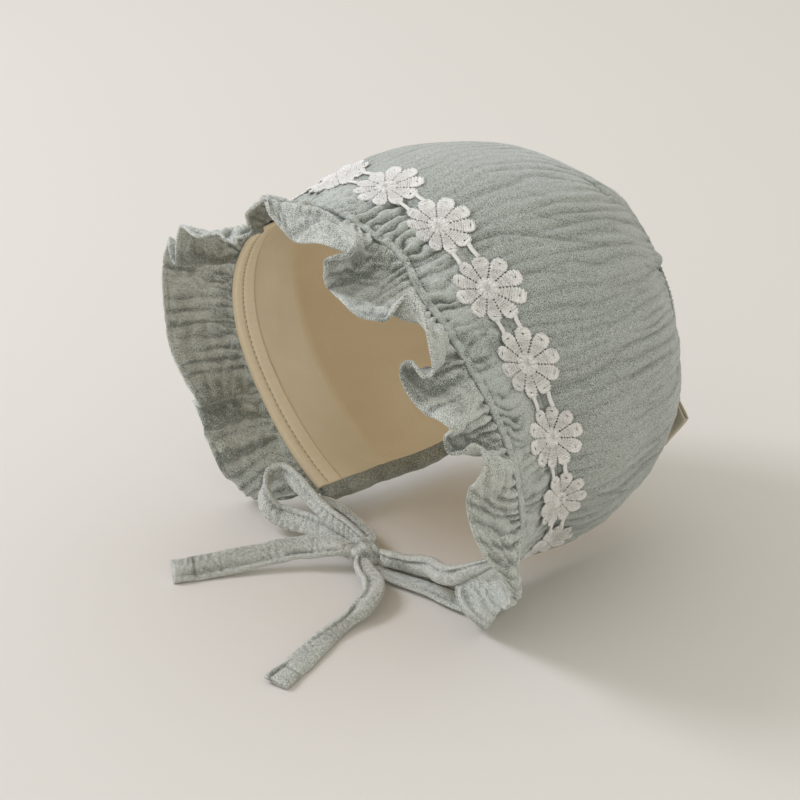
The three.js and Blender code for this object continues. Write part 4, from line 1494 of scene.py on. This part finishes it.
    def cloth(self, at: Array, side: Array) -> Array:
        """The cloth under the strip: the band ahead of the lace line and the main panel behind it.

        Args:
            at: the angles.
            side: millimetres from the lace line, forwards when positive.

        Returns:
            The points.
        """
        ahead = self.form.band(at, np.clip(side, 0, None) / self.form.band_width)
        behind = self.form.crown(at, np.clip(-side, 0, None) / self.form.crown_length)
        return np.where((side >= 0)[..., None], ahead, behind)

    def strip_place(self, along: Array, aside: Array, lift: Array) -> Array:
        """Puts places in the flat strip on the hat.

        Args:
            along: millimetres along the lace line from the middle daisy.
            aside: millimetres from that line, forwards over the band when positive.
            lift: height over the cloth.

        Returns:
            The points. Where the cloth is hollow across the strip, the strip spans the hollow.
        """
        table = np.linspace(-PANEL_END, PANEL_END, 1201)
        way = walked(self.form.lace_line(table))
        at = np.interp(along, way - way[-1] / 2, table)
        side = aside + self.ahead
        here = self.cloth(at, side)
        step = 0.4
        along_way = self.cloth(at + step, side) - self.cloth(at - step, side)
        over = self.cloth(at, side + step) - self.cloth(at, side - step)
        normal = unit(np.cross(along_way, over))
        normal = normal * np.sign(dot(normal, here - CROWN_CENTRE))
        chord = 0.5 * (self.cloth(at, self.reach + 0 * side) + self.cloth(at, -self.reach + 0 * side))
        hollow = dot(chord - self.form.lace_line(at), normal)[..., 0]
        bridge = np.clip(hollow, 0, 2) * np.clip(1 - np.abs(side) / (self.reach + 0.5), 0, 1) * 0.25
        return here + normal * (lift + self.lift + bridge)[..., None]

    def centre(self, number: float) -> float:
        """How far along the strip a daisy's middle is; a half between two of them for a bar."""
        return (number - (self.count - 1) / 2) * self.pitch

    def placed_petal(self, petal: tuple[Array, ...], number: int, k: int) -> tuple[Array, ...]:
        """One petal in its place, a little uneven.

        Args:
            petal: the flat petal.
            number: which daisy.
            k: which of its petals.

        Returns:
            The points, the stitch places, the lightness, with painted shade on the lower stitches, and which
            quads are kept.
        """
        flat, height, stitch, keep = petal
        turn = math.pi * (2 * k + 1) / self.petals + 0.04 * math.sin(2.4 * number)
        radius = np.linalg.norm(flat, axis=-1)
        uneven = 0.045 * math.sin(7.3 * k + 3.1 * number) * smooth(radius, self.slit_end, self.tip)
        x = (flat[..., 0] * math.cos(turn) + flat[..., 1] * math.sin(turn)) * (1 + uneven)
        y = (flat[..., 1] * math.cos(turn) - flat[..., 0] * math.sin(turn)) * (1 + uneven)
        lump = 0.1 * cloud(x / 0.9 + 40 * number, y / 0.9, 61)
        x = x + 0.09 * cloud(x / 1.3 + 9, y / 1.3 + 30 * number, 62)
        y = y + 0.09 * cloud(x / 1.3 + 5, y / 1.3 + 30 * number, 63)
        place = self.strip_place(self.centre(number) + y, x, height + lump)
        # Painted shade: the lower the stitches stand, the darker they are.
        return place, stitch + [7.0 * k, 13.0 * number], np.clip(height * 1.3, 0, 1), keep

    def bar(self, number: int, side: int) -> tuple[Array, ...]:
        """One thin bar between two daisies, a strip arched over its width.

        Args:
            number: the daisy that it starts at.
            side: which of the pair, -1 or 1.

        Returns:
            The points, the stitch places, the lightness and which quads are kept, as grids.
        """
        stations, columns = 13, 5
        s, t = np.meshgrid(np.linspace(-1, 1, stations), np.linspace(-1, 1, columns), indexing="ij")
        knots = 0.05 * np.cos(np.arange(stations) * np.pi)[:, None]
        aside = side * (self.bar_aside - 0.35 * (1 - s**2)) + (0.36 + knots) * t
        along = self.centre(number + 0.5) + s * self.bar_half
        points = self.strip_place(along, aside, 0.32 - 0.22 * t**2 + knots)
        whole = np.ones((stations - 1, columns - 1), dtype=bool)
        return points, np.stack([t, s * 3], axis=-1), np.full(s.shape, 0.6), whole

    def build(self) -> Piece:
        """Makes all the daisies and bars as one mesh with open slits, then gives it its thickness.

        Returns:
            The piece.
        """
        petal = self.petal()
        grids = [self.placed_petal(petal, n, k) for n in range(self.count) for k in range(self.petals)]
        grids += [self.bar(number, side) for number in range(self.count - 1) for side in (-1, 1)]
        faces, total = [], 0
        for _, _, shade, kept in grids:
            faces.append(grid_quads(np.arange(shade.size).reshape(shade.shape) + total)[kept])
            total += shade.size
        points = np.concatenate([place.reshape(-1, 3) for place, _, _, _ in grids])
        uv = np.concatenate([threads.reshape(-1, 2) for _, threads, _, _ in grids])
        ridge = np.concatenate([shade.reshape(-1) for _, _, shade, _ in grids])
        piece = self.bench.mesh("daisy_lace", points, np.concatenate(faces), uv, ridge=ridge)
        weld(piece)
        thicken(piece, self.wall)
        return piece


@dataclass
class Lining(Part):
    """The cream lining, its back panel and the facing inside the front edge."""

    facing_width: float = 9.0
    stitch_inset: float = 4.2  # the facing is stitched down this far from the frill seam
    wall: float = 0.6
    length: float = 90.0
    back_radius: float = 50.0
    soft: tuple[Noise, ...] = (Noise(51, 12, 40, 0.7), Noise(52, 5, 15, 0.35))
    folds: Creases = Creases(9, (Noise(56, 20, 30, 0.7),))
    back_soft: Noise = Noise(53, 12, 16, 0.7)
    back_gathers: float = 44.0
    puckers: Creases = Creases(3.4, (Noise(55, 8, 6, 0.6),))

    def walls(self, base: Array, normals: Array, depth_in: Array) -> tuple[Array, Array]:
        """The two faces of a lining that lies `depth_in` millimetres inside a surface."""
        depth_in = self.form.lining_depth + depth_in
        return base - normals * depth_in[..., None], base - normals * (depth_in + self.wall)[..., None]

    def body(self) -> Piece:
        """Makes the lining of the band and the main panel as one sheet, with soft folds.

        Returns:
            The piece.
        """
        tucked = 1 - (self.facing_width - 1.2) / self.form.band_width
        rows = np.concatenate([-np.linspace(tucked, 0.04, 9), np.linspace(0.0, 1.0, 46)])
        at, row = np.broadcast_arrays(angles(300), rows[None, :])
        band, crown = self.form.band(at, np.clip(-row, 0, 1)), self.form.crown(at, np.clip(row, 0, 1))
        base = np.where((row < 0)[..., None], band, crown)
        place = at * ARC, row * self.length
        soft = sum(noise.at(*place) for noise in self.soft)
        fold = self.folds.folds(*place, sharp=1.4) * smooth(row, 0.55, 0.98)
        walls = self.walls(base, outward(base), 0.5 + 0.45 * soft - 0.5 * fold)
        # Painted shade: the lining is darker where it stands further in from the panels.
        shade = 0.75 - 0.25 * soft + 0.3 * fold
        return self.bench.shell("lining_cloth", walls, np.stack(place, axis=-1), shade)

    def back(self) -> Piece:
        """Makes the lining of the back panel.

        Returns:
            The piece.
        """
        at, across = np.broadcast_arrays(np.linspace(-180, 180, 180)[:, None], shares(34, 0.004, 1.03))
        base = self.form.back(at, across)
        uv = on_disc(at, across, self.back_radius)
        soft = self.back_soft.at(uv[..., 0], uv[..., 1]) * smooth(across, 0, 0.1)
        ripple = round_gathers(at, self.back_gathers, 0.8, seed=57)
        fold = (crease(ripple, 1.4) - 1) * smooth(across, 0.5, 0.98)
        depth_in = 0.6 + 0.4 * soft - 0.6 * fold + 0.9 * smooth(across, 0.9, 0.99)
        walls = self.walls(base, unit(base - CROWN_CENTRE), depth_in)
        # Painted shade: the back lining is darker where it stands further in from the panel.
        return self.bench.shell("back_lining_cloth", walls, uv, 0.75 - 0.25 * soft + 0.3 * fold, wrap=True)

    def facing(self) -> Piece:
        """Makes the turned-in strip, with a groove where it is stitched, up to the frill's seam.

        Returns:
            The piece.
        """
        start = 1 - self.facing_width / self.form.band_width
        at, across = np.broadcast_arrays(angles(420), shares(22, start, 1.01))
        base = self.form.band(at, across)
        place = at * ARC, (1 - across) * self.form.band_width
        pucker = (self.puckers.folds(*place, sharp=1.5) + 1) * 0.3
        height = 0.4 + 0.5 * pucker - 0.45 * bell(place[1], self.stitch_inset, 0.6)
        height = height - 0.9 * (1 - smooth(place[1], -0.3, 1.6))
        walls = self.walls(base, outward(base), 0.35 + height)
        # Painted shade: darker in the stitched groove and at the edge by the seam, lighter on the puckers.
        shade = np.clip(0.45 + 0.9 * height, 0, 1)
        return self.bench.shell("facing_cloth", walls, np.stack(place, axis=-1), shade)

    def stitches(self) -> tuple[Array, Array]:
        """Where the facing is stitched down, inside the hat.

        Returns:
            The line and the way out from it.
        """
        at = angles(900, PANEL_END - 1)
        across = 1 - (self.stitch_inset + np.array([[0.0, 0.05]])) / self.form.band_width
        base = self.form.band(at, across)
        normals = outward(base)[:, 0]
        return base[:, 0] - normals * (self.form.lining_depth + 0.95), -normals


@dataclass
class NeckBinding(Part):
    """The folded strip along the neck edge."""

    depth: float = 5.0
    wrap: float = 1.5  # how far it reaches up over the panels
    wall: float = 4.2
    sides: int = 28
    squareness: float = 0.55  # the power that makes its section oblong

    def edge(self) -> Array:
        """The neck edge in the middle of the walls.

        Returns:
            Points from one front corner round the nape to the other.
        """
        middle = (self.form.lining_depth + self.form.lining_wall) / 2
        front = np.linspace(1.0, 0.05, 30)
        crown = np.linspace(0.05, 0.985, 70)
        nape = np.linspace(PANEL_END + 1.5, 180, 24)
        stretches = [
            self.form.band(PANEL_END + 0 * front, front),
            self.form.crown(PANEL_END + 0 * crown, crown),
            self.form.back(nape, 1.0 + 0 * nape),
        ]
        half = np.concatenate([points - unit(points - CROWN_CENTRE) * middle for points in stretches])
        return np.concatenate([half, half[-2::-1] * [-1, 1, 1]])

    def build(self) -> Piece:
        """Makes the strip: a rounded oblong carried along the edge, with small creases across it.

        Returns:
            The piece.
        """
        path = evened(self.edge(), 2)
        along = unit(np.gradient(path, axis=0))
        out = path - CROWN_CENTRE
        out = unit(out - along * dot(out, along))
        down = np.cross(along, out)
        way = walked(path)[:, None]
        turn = np.linspace(0, 2 * np.pi, self.sides, endpoint=False)[None, :]
        across = squared(np.cos(turn), self.squareness) * self.wall / 2
        deep = (self.depth + self.wrap) / 2 * (1 + squared(np.sin(turn), self.squareness)) - self.wrap + 0.3
        ripple = 0.22 * cloud(way / 3.1, 0 * turn + 2, 61) * smooth(deep, 0.5, 3.0)
        ring = path[:, None] + out[:, None] * (across * (1 + ripple))[..., None]
        ring = ring + down[:, None] * (deep + ripple)[..., None]
        uv = np.stack(np.broadcast_arrays(way, turn * 3), axis=-1)
        # Painted shade: lighter where its creases stand out, darker where they sink.
        return self.bench.tube("neck_binding_cloth", ring, uv, 0.55 + ripple)


@dataclass(frozen=True)
class TiePoint:
    """A station of a tie's route: its middle, the turn of its width from level, and its section."""

    x: float
    y: float
    z: float
    turn: float
    width: float = 9.0
    wall: float = 2.8


RIGHT_TIE = tuple(
    TiePoint(*row) for row in (  # x, y, z, turn, width, wall
        (61.5, -33.4, -41.6, 80, 3, 1.6), (57.2, -33.2, -45.2, 80, 3.6, 2),
        (52.4, -33, -48.8, 84, 4.4, 2.4), (47.6, -33, -52.2, 88, 5.6, 3), (42.8, -33.4, -55.8, 90, 7, 4),
        (38, -34, -58.4, 90, 7.8, 4.4), (32, -33.5, -60.4, 90, 8, 4.4), (25, -31.5, -62.2, 92, 8, 4.4),
        (16, -32.8, -64.6, 95, 7.6, 4.2), (8.4, -36.6, -64.6, 90, 6, 4), (0, -40, -65, 40, 5, 4),
        (7.5, -41, -68, 10, 6, 2.2), (15, -38.4, -69.2, 4, 8, 1.7), (25, -35, -69.3, 4, 9, 1.7),
        (36, -32.6, -69.2, 2, 9, 1.7), (45, -30.5, -69, 0, 9, 1.7), (50, -25.5, -69, 0, 9.5, 1.8),
        (45.5, -21, -69.4, 0, 9.5, 1.8), (36, -21.3, -69.6, 0, 9, 1.8), (24, -24.2, -69.6, 0, 8, 1.8),
        (14, -28.6, -69.6, 0, 7, 1.9), (6, -33, -68.6, 0, 6, 2.2), (-1, -40, -66.5, 20, 5, 3),
        (3, -45.5, -65.4, 15, 6.5, 3.4), (9, -48.5, -65.4, 5, 8, 3.8), (15.5, -50.6, -65.4, 0, 8.4, 4.2),
        (21.4, -55.4, -65.8, -5, 8.4, 4.2), (25, -63.2, -66.8, 10, 7.6, 4),
        (27.4, -74, -68.4, 45, 5.6, 3.4), (32, -89, -69, 14, 8.8, 2.8), (37.6, -102.6, -69.2, 12, 9.2, 2.8),
        (41, -113, -69, 8, 9.6, 3),
    )
)

LEFT_TIE = tuple(
    TiePoint(*row) for row in (  # x, y, z, turn, width, wall
        (-37.2, -35.5, -61.6, 80, 7, 4.4), (-31, -33, -61.8, 85, 7, 4.4), (-22, -31.5, -64, 90, 7, 4.4),
        (-14, -31.2, -65.8, 90, 6.6, 4.2), (-7.5, -32.6, -66.2, 90, 5.5, 4), (-3, -38, -64.6, 60, 5, 4),
        (-11, -39.4, -61, 75, 6, 2.6), (-20.2, -41.4, -58.5, 80, 7, 2.4), (-30.7, -42, -55.5, 80, 7.4, 2.4),
        (-41.5, -41.6, -52.5, 84, 8, 2.4), (-49, -42, -51, 92, 8.4, 2.4), (-51.6, -46, -52, 104, 8.4, 2.4),
        (-50.4, -49.8, -55, 112, 8.4, 2.4), (-47.4, -51.5, -59, 118, 8.4, 2.4),
        (-43.6, -51, -62.4, 122, 8.4, 2.4), (-38, -48, -63.8, 124, 8.4, 2.4),
        (-31, -45, -64, 126, 8.4, 2.4), (-22, -43.2, -64.2, 126, 8, 2.6), (-11.4, -41.4, -65, 130, 6, 3),
        (-4, -41, -64.6, 150, 5, 3), (-7.5, -47, -62.8, 205, 6.5, 3), (-13, -53, -62.9, 222, 8, 3),
        (-18.9, -60, -63.7, 230), (-26.6, -74, -65.9, 233), (-34, -90.8, -67.2, 232),
        (-38.3, -100.6, -67.3, 230, 9.4, 3),
    )
)


@dataclass
class Tie:
    """One flat tie, in one piece from the neck edge through the bow to its tail."""

    name: str
    route: tuple[TiePoint, ...]
    seed: int
    seam: float = 0.45
    hem: float = 8.0  # the end is turned in this far
    stations: int = 560
    sides: int = 36

    def line(self) -> tuple[Array, Array]:
        """The tie's middle line and its other columns, smooth through the route's stations.

        Returns:
            (stations, 3) points in millimetres and (stations, 3) turn, width and wall.
        """
        rows = np.array([astuple(point) for point in self.route], float)
        steps = np.linalg.norm(np.diff(rows[:, :3], axis=0), axis=-1) ** 0.5
        knots = np.concatenate([[0.0], np.cumsum(steps)])
        dense = np.linspace(0, knots[-1], 3000)
        columns = np.stack([through(dense, knots, column) for column in rows.T], axis=-1)
        way = walked(columns[:, :3])
        columns = read_at(columns, way, np.linspace(0, way[-1], self.stations))
        return columns[:, :3], columns[:, 3:]

    def build(self, bench: Bench) -> Piece:
        """Makes the tie: a flat padded tube with a seam groove by one edge, puckers and a turned end.

        Args:
            bench: where shapes are placed.

        Returns:
            The piece.
        """
        path, columns = self.line()
        turn, width, wall = np.radians(columns[:, :1]), columns[:, 1:2], columns[:, 2:]
        along = unit(np.gradient(path, axis=0))
        level = unit(np.cross(along, [0.0, 0.0, 1.0]))
        wide = np.cos(turn) * level + np.sin(turn) * np.cross(level, along)
        flat = np.cross(along, wide)
        way = np.linspace(0, walked(path)[-1], len(path))[:, None]
        angle = np.linspace(0, 2 * np.pi, self.sides, endpoint=False)[None, :]
        s, n = squared(np.cos(angle), 0.7), squared(np.sin(angle), 0.75)
        to_end = way[-1] - way
        seam = self.seam + 0.07 * np.sin(way / 19)
        groove = bell(s, seam, 0.13) * (0.6 + 0.5 * cloud(way / 5, 0 * s, 9))
        piped = smooth(s * np.sign(self.seam), 0.55, 0.75)
        turned_end = smooth(to_end, self.hem, self.hem - 0.6)
        step = bell(to_end, self.hem, 0.6) * (1 - 0.7 * piped)
        pucker = (crease(way / 3.1 + cloud(way / 9, s * 1.6, self.seed), 1.4) - 0.6) * 0.55
        share = np.clip(0.7 + cloud(way / 7, s * 1.1, self.seed + 3), 0, 1.3)
        crinkle = 0.4 * cloud(way / 8, s * 1.4, self.seed + 1) + pucker * share
        crinkle = (crinkle * (1 - 0.5 * piped) - 0.45 * step) * np.abs(n)
        ends = np.minimum(smooth(way, 0, 1.2), smooth(way, way[-1], way[-1] - 0.9))
        girth = (1 - 0.75 * groove + 0.15 * piped) * (1 + 0.25 * turned_end) * (0.35 + 0.65 * ends)
        curl = 0.6 * np.sin(way / 17 + self.seed) * (s**2 - 0.4)
        thick = wall / 2 * n * girth + crinkle * np.sign(n) + curl
        half = width / 2 * s * (1 + 0.08 * cloud(way / 6, 0 * s, self.seed + 2))
        rings = path[:, None] + wide[:, None] * half[..., None] + flat[:, None] * thick[..., None]
        rings[..., 2] = np.maximum(rings[..., 2], FLOOR + 0.1)
        uv = np.stack(np.broadcast_arrays(way, s * 5.2 + 20 * (n > 0)), axis=-1)
        # Painted shade: darker in the seam groove, at the step of the turned end and in the puckers' valleys,
        # lighter on their crests.
        ridge = np.clip(0.86 + 0.5 * crinkle - 0.6 * groove - 0.4 * step, 0, 1.1)
        return bench.tube(self.name, rings, uv, ridge)

    def declare(self, piece: Piece, bench: Bench) -> None:
        """Works out the tie's middle line in the frame, and keeps nothing.

        Args:
            piece: the tie's object; not used.
            bench: where shapes are placed.
        """
        placed = bench.place(self.line()[0])


@dataclass
class BowKnot:
    """The tight wrap in the middle of the bow."""

    centre: tuple[float, float, float] = (-2.0, -40.5, -65.0)
    size: tuple[float, float, float] = (16.0, 10.4, 10.2)
    turn: float = 8.0
    stations: int = 90
    sides: int = 120

    def build(self, bench: Bench) -> Piece:
        """Makes the wrap: a drawn-in barrel with slanting folds and a band over its middle.

        Args:
            bench: where shapes are placed.

        Returns:
            The piece.
        """
        t = np.linspace(0, np.pi, self.stations)
        t, a = np.meshgrid(t, np.linspace(0, 2 * np.pi, self.sides, endpoint=False), indexing="ij")
        s = -np.cos(t)
        girth = np.sin(t) ** 0.62
        folds = 0.1 * np.sin(3 * a + 5.5 * s) + 0.06 * np.sin(7 * a - 4 * s + 1)
        band = 0.14 * np.exp(-((s / 0.42) ** 4))
        radius = girth * (0.86 + folds * girth + band + 0.03 * cloud(6 * s, 3 * np.cos(a), 71))
        half = np.array(self.size) / 2
        x, y, z = half[0] * s, half[1] * radius * np.cos(a), half[2] * radius * np.sin(a)
        cos, sin = math.cos(math.radians(self.turn)), math.sin(math.radians(self.turn))
        points = np.stack([x * cos - y * sin, x * sin + y * cos, z], axis=-1) + self.centre
        uv = np.stack([s * 12, a * 5], axis=-1)
        # Painted shade: darker in the hollows between the folds, lighter on the folds and on the middle band.
        return bench.tube("bow_knot_cloth", points, uv, np.clip(0.5 + 2.5 * folds + band, 0, 1.2))


@dataclass
class Label(Part):
    """The blank folded tape caught in the back seam."""

    width: float = 18.0
    length: float = 15.0
    lean: float = 68.0
    wall: float = 0.35

    def build(self) -> Piece:
        """Makes the tape: a narrow loop from the seam out and back, carried along its width.

        Returns:
            The piece.
        """
        at = np.array([LABEL_AT])
        tilt, radius = self.form.section("back_tilt", at), self.form.section("back_radius", at) + 0.3
        root, beside = (self.form.on_ball(at + step, tilt, radius)[0] for step in (0, 1))
        up, along = unit(root - CROWN_CENTRE), unit(beside - root)
        ahead = unit(np.cross(along, up))
        cos, sin = math.cos(math.radians(self.lean)), math.sin(math.radians(self.lean))
        out, flat = up * cos + ahead * sin, ahead * cos - up * sin
        t = np.linspace(-1, 1, 41)[:, None]
        w = np.linspace(-0.5, 0.5, 16)[None, :]
        reach = self.length * (1 - np.abs(t) ** 2.6)
        gap = 0.75 * np.sin(np.pi * t) * 0.9 + 0.25 * np.sign(t) + 0.25 * np.sin(5 * w)
        points = root + out * reach[..., None] + flat * gap[..., None] + along * (w * self.width)[..., None]
        uv = np.stack(np.broadcast_arrays(t * 8, w * 12), axis=-1)
        piece = self.bench.sheet("label_tape", points, uv, ridge=0.6 + 0 * uv[..., 0])
        thicken(piece, self.wall, 0.0)
        return piece


# ---- Studio ----


@dataclass
class Studio:
    """The pale floor, the light from a window and the sky, and the camera."""

    azimuth: float = 51.0
    elevation: float = 27.0
    distance: float = 902.0
    aim_right: float = -19.95
    aim_up: float = -13.2
    lens: float = 112.5
    floor_half: float = 4000.0
    window: tuple[float, float, float] = (-1120.0, -260.0, 1000.0)  # to the right, nearer and up
    window_size: float = 0.5  # its side, in metres
    window_watts: float = 8.7
    window_tint: tuple[float, float, float] = (0.97, 1.0, 1.14)
    sky: Colour = (0.99, 0.978, 0.925, 1.0)
    sky_strength: float = 0.79

    def axes(self) -> Array:
        """The camera's directions.

        Returns:
            Its right, up and back, one to a row.
        """
        a, e = math.radians(self.azimuth), math.radians(self.elevation)
        right = (math.cos(a), math.sin(a), 0.0)
        up = (-math.sin(a) * math.sin(e), math.cos(a) * math.sin(e), math.cos(e))
        back = (math.sin(a) * math.cos(e), -math.cos(a) * math.cos(e), math.sin(e))
        return np.array([right, up, back])

    def hang(self, data: bpy.types.ID, bench: Bench, place: Array, axes: Array) -> Piece:
        """Puts a camera or a light in the scene.

        Args:
            data: the camera or light.
            bench: where shapes are placed.
            place: its place, in millimetres from the head's centre.
            axes: its right, up and back directions, one to a row.

        Returns:
            The new object.
        """
        made = bpy.data.objects.new(data.name, data)
        turn = Matrix(axes.T.tolist()).to_4x4()
        made.matrix_world = Matrix.Translation(bench.place(place).tolist()) @ turn
        bpy.context.scene.collection.objects.link(made)
        return made

    def camera(self, bench: Bench) -> None:
        """Makes the camera and gives it to the scene.

        Args:
            bench: where shapes are placed.
        """
        data = bpy.data.cameras.new("camera")
        data.lens = self.lens
        data.sensor_width = 36.0
        data.clip_start, data.clip_end = 0.05, 20.0
        right, up, back = self.axes()
        place = right * self.aim_right + up * self.aim_up + back * self.distance
        bpy.context.scene.camera = self.hang(data, bench, place, self.axes())

    def light(self, bench: Bench) -> None:
        """Hangs the window, a square soft light that looks at the head's centre, and lights the sky.

        Args:
            bench: where shapes are placed.
        """
        data = bpy.data.lights.new("window", "AREA")
        data.shape = "SQUARE"
        data.size = self.window_size
        data.energy = self.window_watts
        data.color = self.window_tint
        right, _, back = self.axes()
        aside, nearer, high = self.window
        place = aside * right + nearer * unit(back * [1, 1, 0]) + np.array([0.0, 0.0, high])
        away = unit(place)
        level = unit(np.cross([0.0, 0.0, 1.0], away))
        self.hang(data, bench, place, np.array([level, np.cross(away, level), away]))
        world = bpy.data.worlds.new("studio")
        world.use_nodes = True
        ground = world.node_tree.nodes["Background"]
        ground.inputs["Color"].default_value = self.sky
        ground.inputs["Strength"].default_value = self.sky_strength
        bpy.context.scene.world = world

    def build(self, bench: Bench) -> None:
        """Makes the floor and the lights and sets the plain view of colour.

        Args:
            bench: where shapes are placed.
        """
        side = np.linspace(-self.floor_half, self.floor_half, 3)
        x, y = np.meshgrid(side, side, indexing="ij")
        points = np.stack([x, y, np.full_like(x, FLOOR)], axis=-1)
        floor = bench.sheet("floor", points, points[..., :2])
        floor.data.materials.append(Backdrop().material())
        self.light(bench)
        bpy.context.scene.view_settings.view_transform = "Standard"


# ---- The whole hat ----


class Cloth(Enum):
    """The finishes, by name."""

    GAUZE = "gauze"
    FRILL = "frill_gauze"
    TIE = "tie_gauze"
    LINING = "lining_cotton"
    LACE = "lace_cotton"
    LABEL = "label_cotton"
    THREAD = "thread"


FINISHES = {
    Cloth.GAUZE: Gauze("sage_gauze", rgb(198, 203, 196), rgb(104, 109, 102), mottle=0.4, grain=1.9),
    # The frill and the ties are the same sage gauze as the panels; their lighter colours are painted light.
    Cloth.FRILL: Gauze(
        "frill_gauze", rgb(217, 220, 212), rgb(108, 113, 106), weave=0.75, mottle=0.5, grain=2.1
    ),
    Cloth.TIE: Gauze("tie_gauze", rgb(227, 229, 222), rgb(116, 120, 112), weave=0.75, mottle=0.4, grain=1.6),
    Cloth.LINING: PlainCotton("cream_cotton", rgb(251, 237, 210), rgb(218, 200, 168)),
    Cloth.LACE: LaceThread(),
    Cloth.LABEL: PlainCotton("label_cotton", rgb(228, 220, 202), rgb(186, 174, 150)),
    Cloth.THREAD: PlainCotton("sewing_thread", rgb(158, 164, 154), rgb(110, 116, 106)),
}


@dataclass
class Bonnet:
    """The whole hat: builds each piece, dresses it and hands it over to the frame."""

    form: HatForm = field(default_factory=HatForm)
    materials: dict = field(default_factory=dict)

    def dress(self, piece: Piece, cloth: Cloth, *nodes: str) -> Piece:
        """Gives a piece its material and body, and hides the CAD nodes that it stands for.

        Args:
            piece: the object.
            cloth: its finish.
            nodes: the CAD nodes that it replaces.

        Returns:
            The same object.
        """
        if cloth not in self.materials:
            self.materials[cloth] = FINISHES[cloth].material()
        piece.data.materials.append(self.materials[cloth])
        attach(piece, "root")
        if nodes:
            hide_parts(*nodes)
        LOG.info("%s: %d faces", piece.name, len(piece.data.polygons))
        return piece

    def cords(self, bench: Bench) -> None:
        """Makes the ties and their knot.

        Args:
            bench: where shapes are placed.
        """
        knot = self.dress(BowKnot().build(bench), Cloth.TIE, "bow_knot")
        for side, route, seed, tied in (("right", RIGHT_TIE, 81, [knot]), ("left", LEFT_TIE, 91, [])):
            tie = Tie(f"tie_{side}", route, seed)
            nodes = [f"tie_{side}_{stretch}" for stretch in ("strap", "loop", "tail")]
            tie.declare(self.dress(tie.build(bench), Cloth.TIE, *nodes), bench)

    def cloths(self, bench: Bench) -> None:
        """Makes the panels, the frill, the lace and the lining.

        Args:
            bench: where shapes are placed.
        """
        crown = self.dress(MainPanel(self.form, bench).build(), Cloth.GAUZE, "crown")
        back = self.dress(BackPanel(self.form, bench).build(), Cloth.GAUZE, "back")
        band = self.dress(FrontBand(self.form, bench).build(), Cloth.GAUZE, "front_band")
        frill = self.dress(Frill(self.form, bench).build(), Cloth.FRILL, "ruffle")
        self.dress(Daisies(self.form, bench).build(), Cloth.LACE, "lace")
        lining = Lining(self.form, bench)
        inner = self.dress(lining.body(), Cloth.LINING, "lining")
        inner_back = self.dress(lining.back(), Cloth.LINING, "back_lining")
        facing = self.dress(lining.facing(), Cloth.LINING, "facing")
        self.dress(NeckBinding(self.form, bench).build(), Cloth.GAUZE, "neck_binding")
        self.dress(Label(self.form, bench).build(), Cloth.LABEL, "label")
        self.dress(Stitching().build("machine_stitches", bench, *lining.stitches()), Cloth.THREAD)


def main() -> None:
    """Builds the camera, the cords, the cloths and the studio."""
    logging.basicConfig(level=logging.INFO, format="%(name)s: %(message)s")
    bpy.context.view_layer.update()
    hat = Bonnet()
    bench = Bench(hat.form)
    studio = Studio()
    studio.camera(bench)
    hat.cords(bench)
    hat.cloths(bench)
    studio.build(bench)


if __name__ == "__main__":
    main()
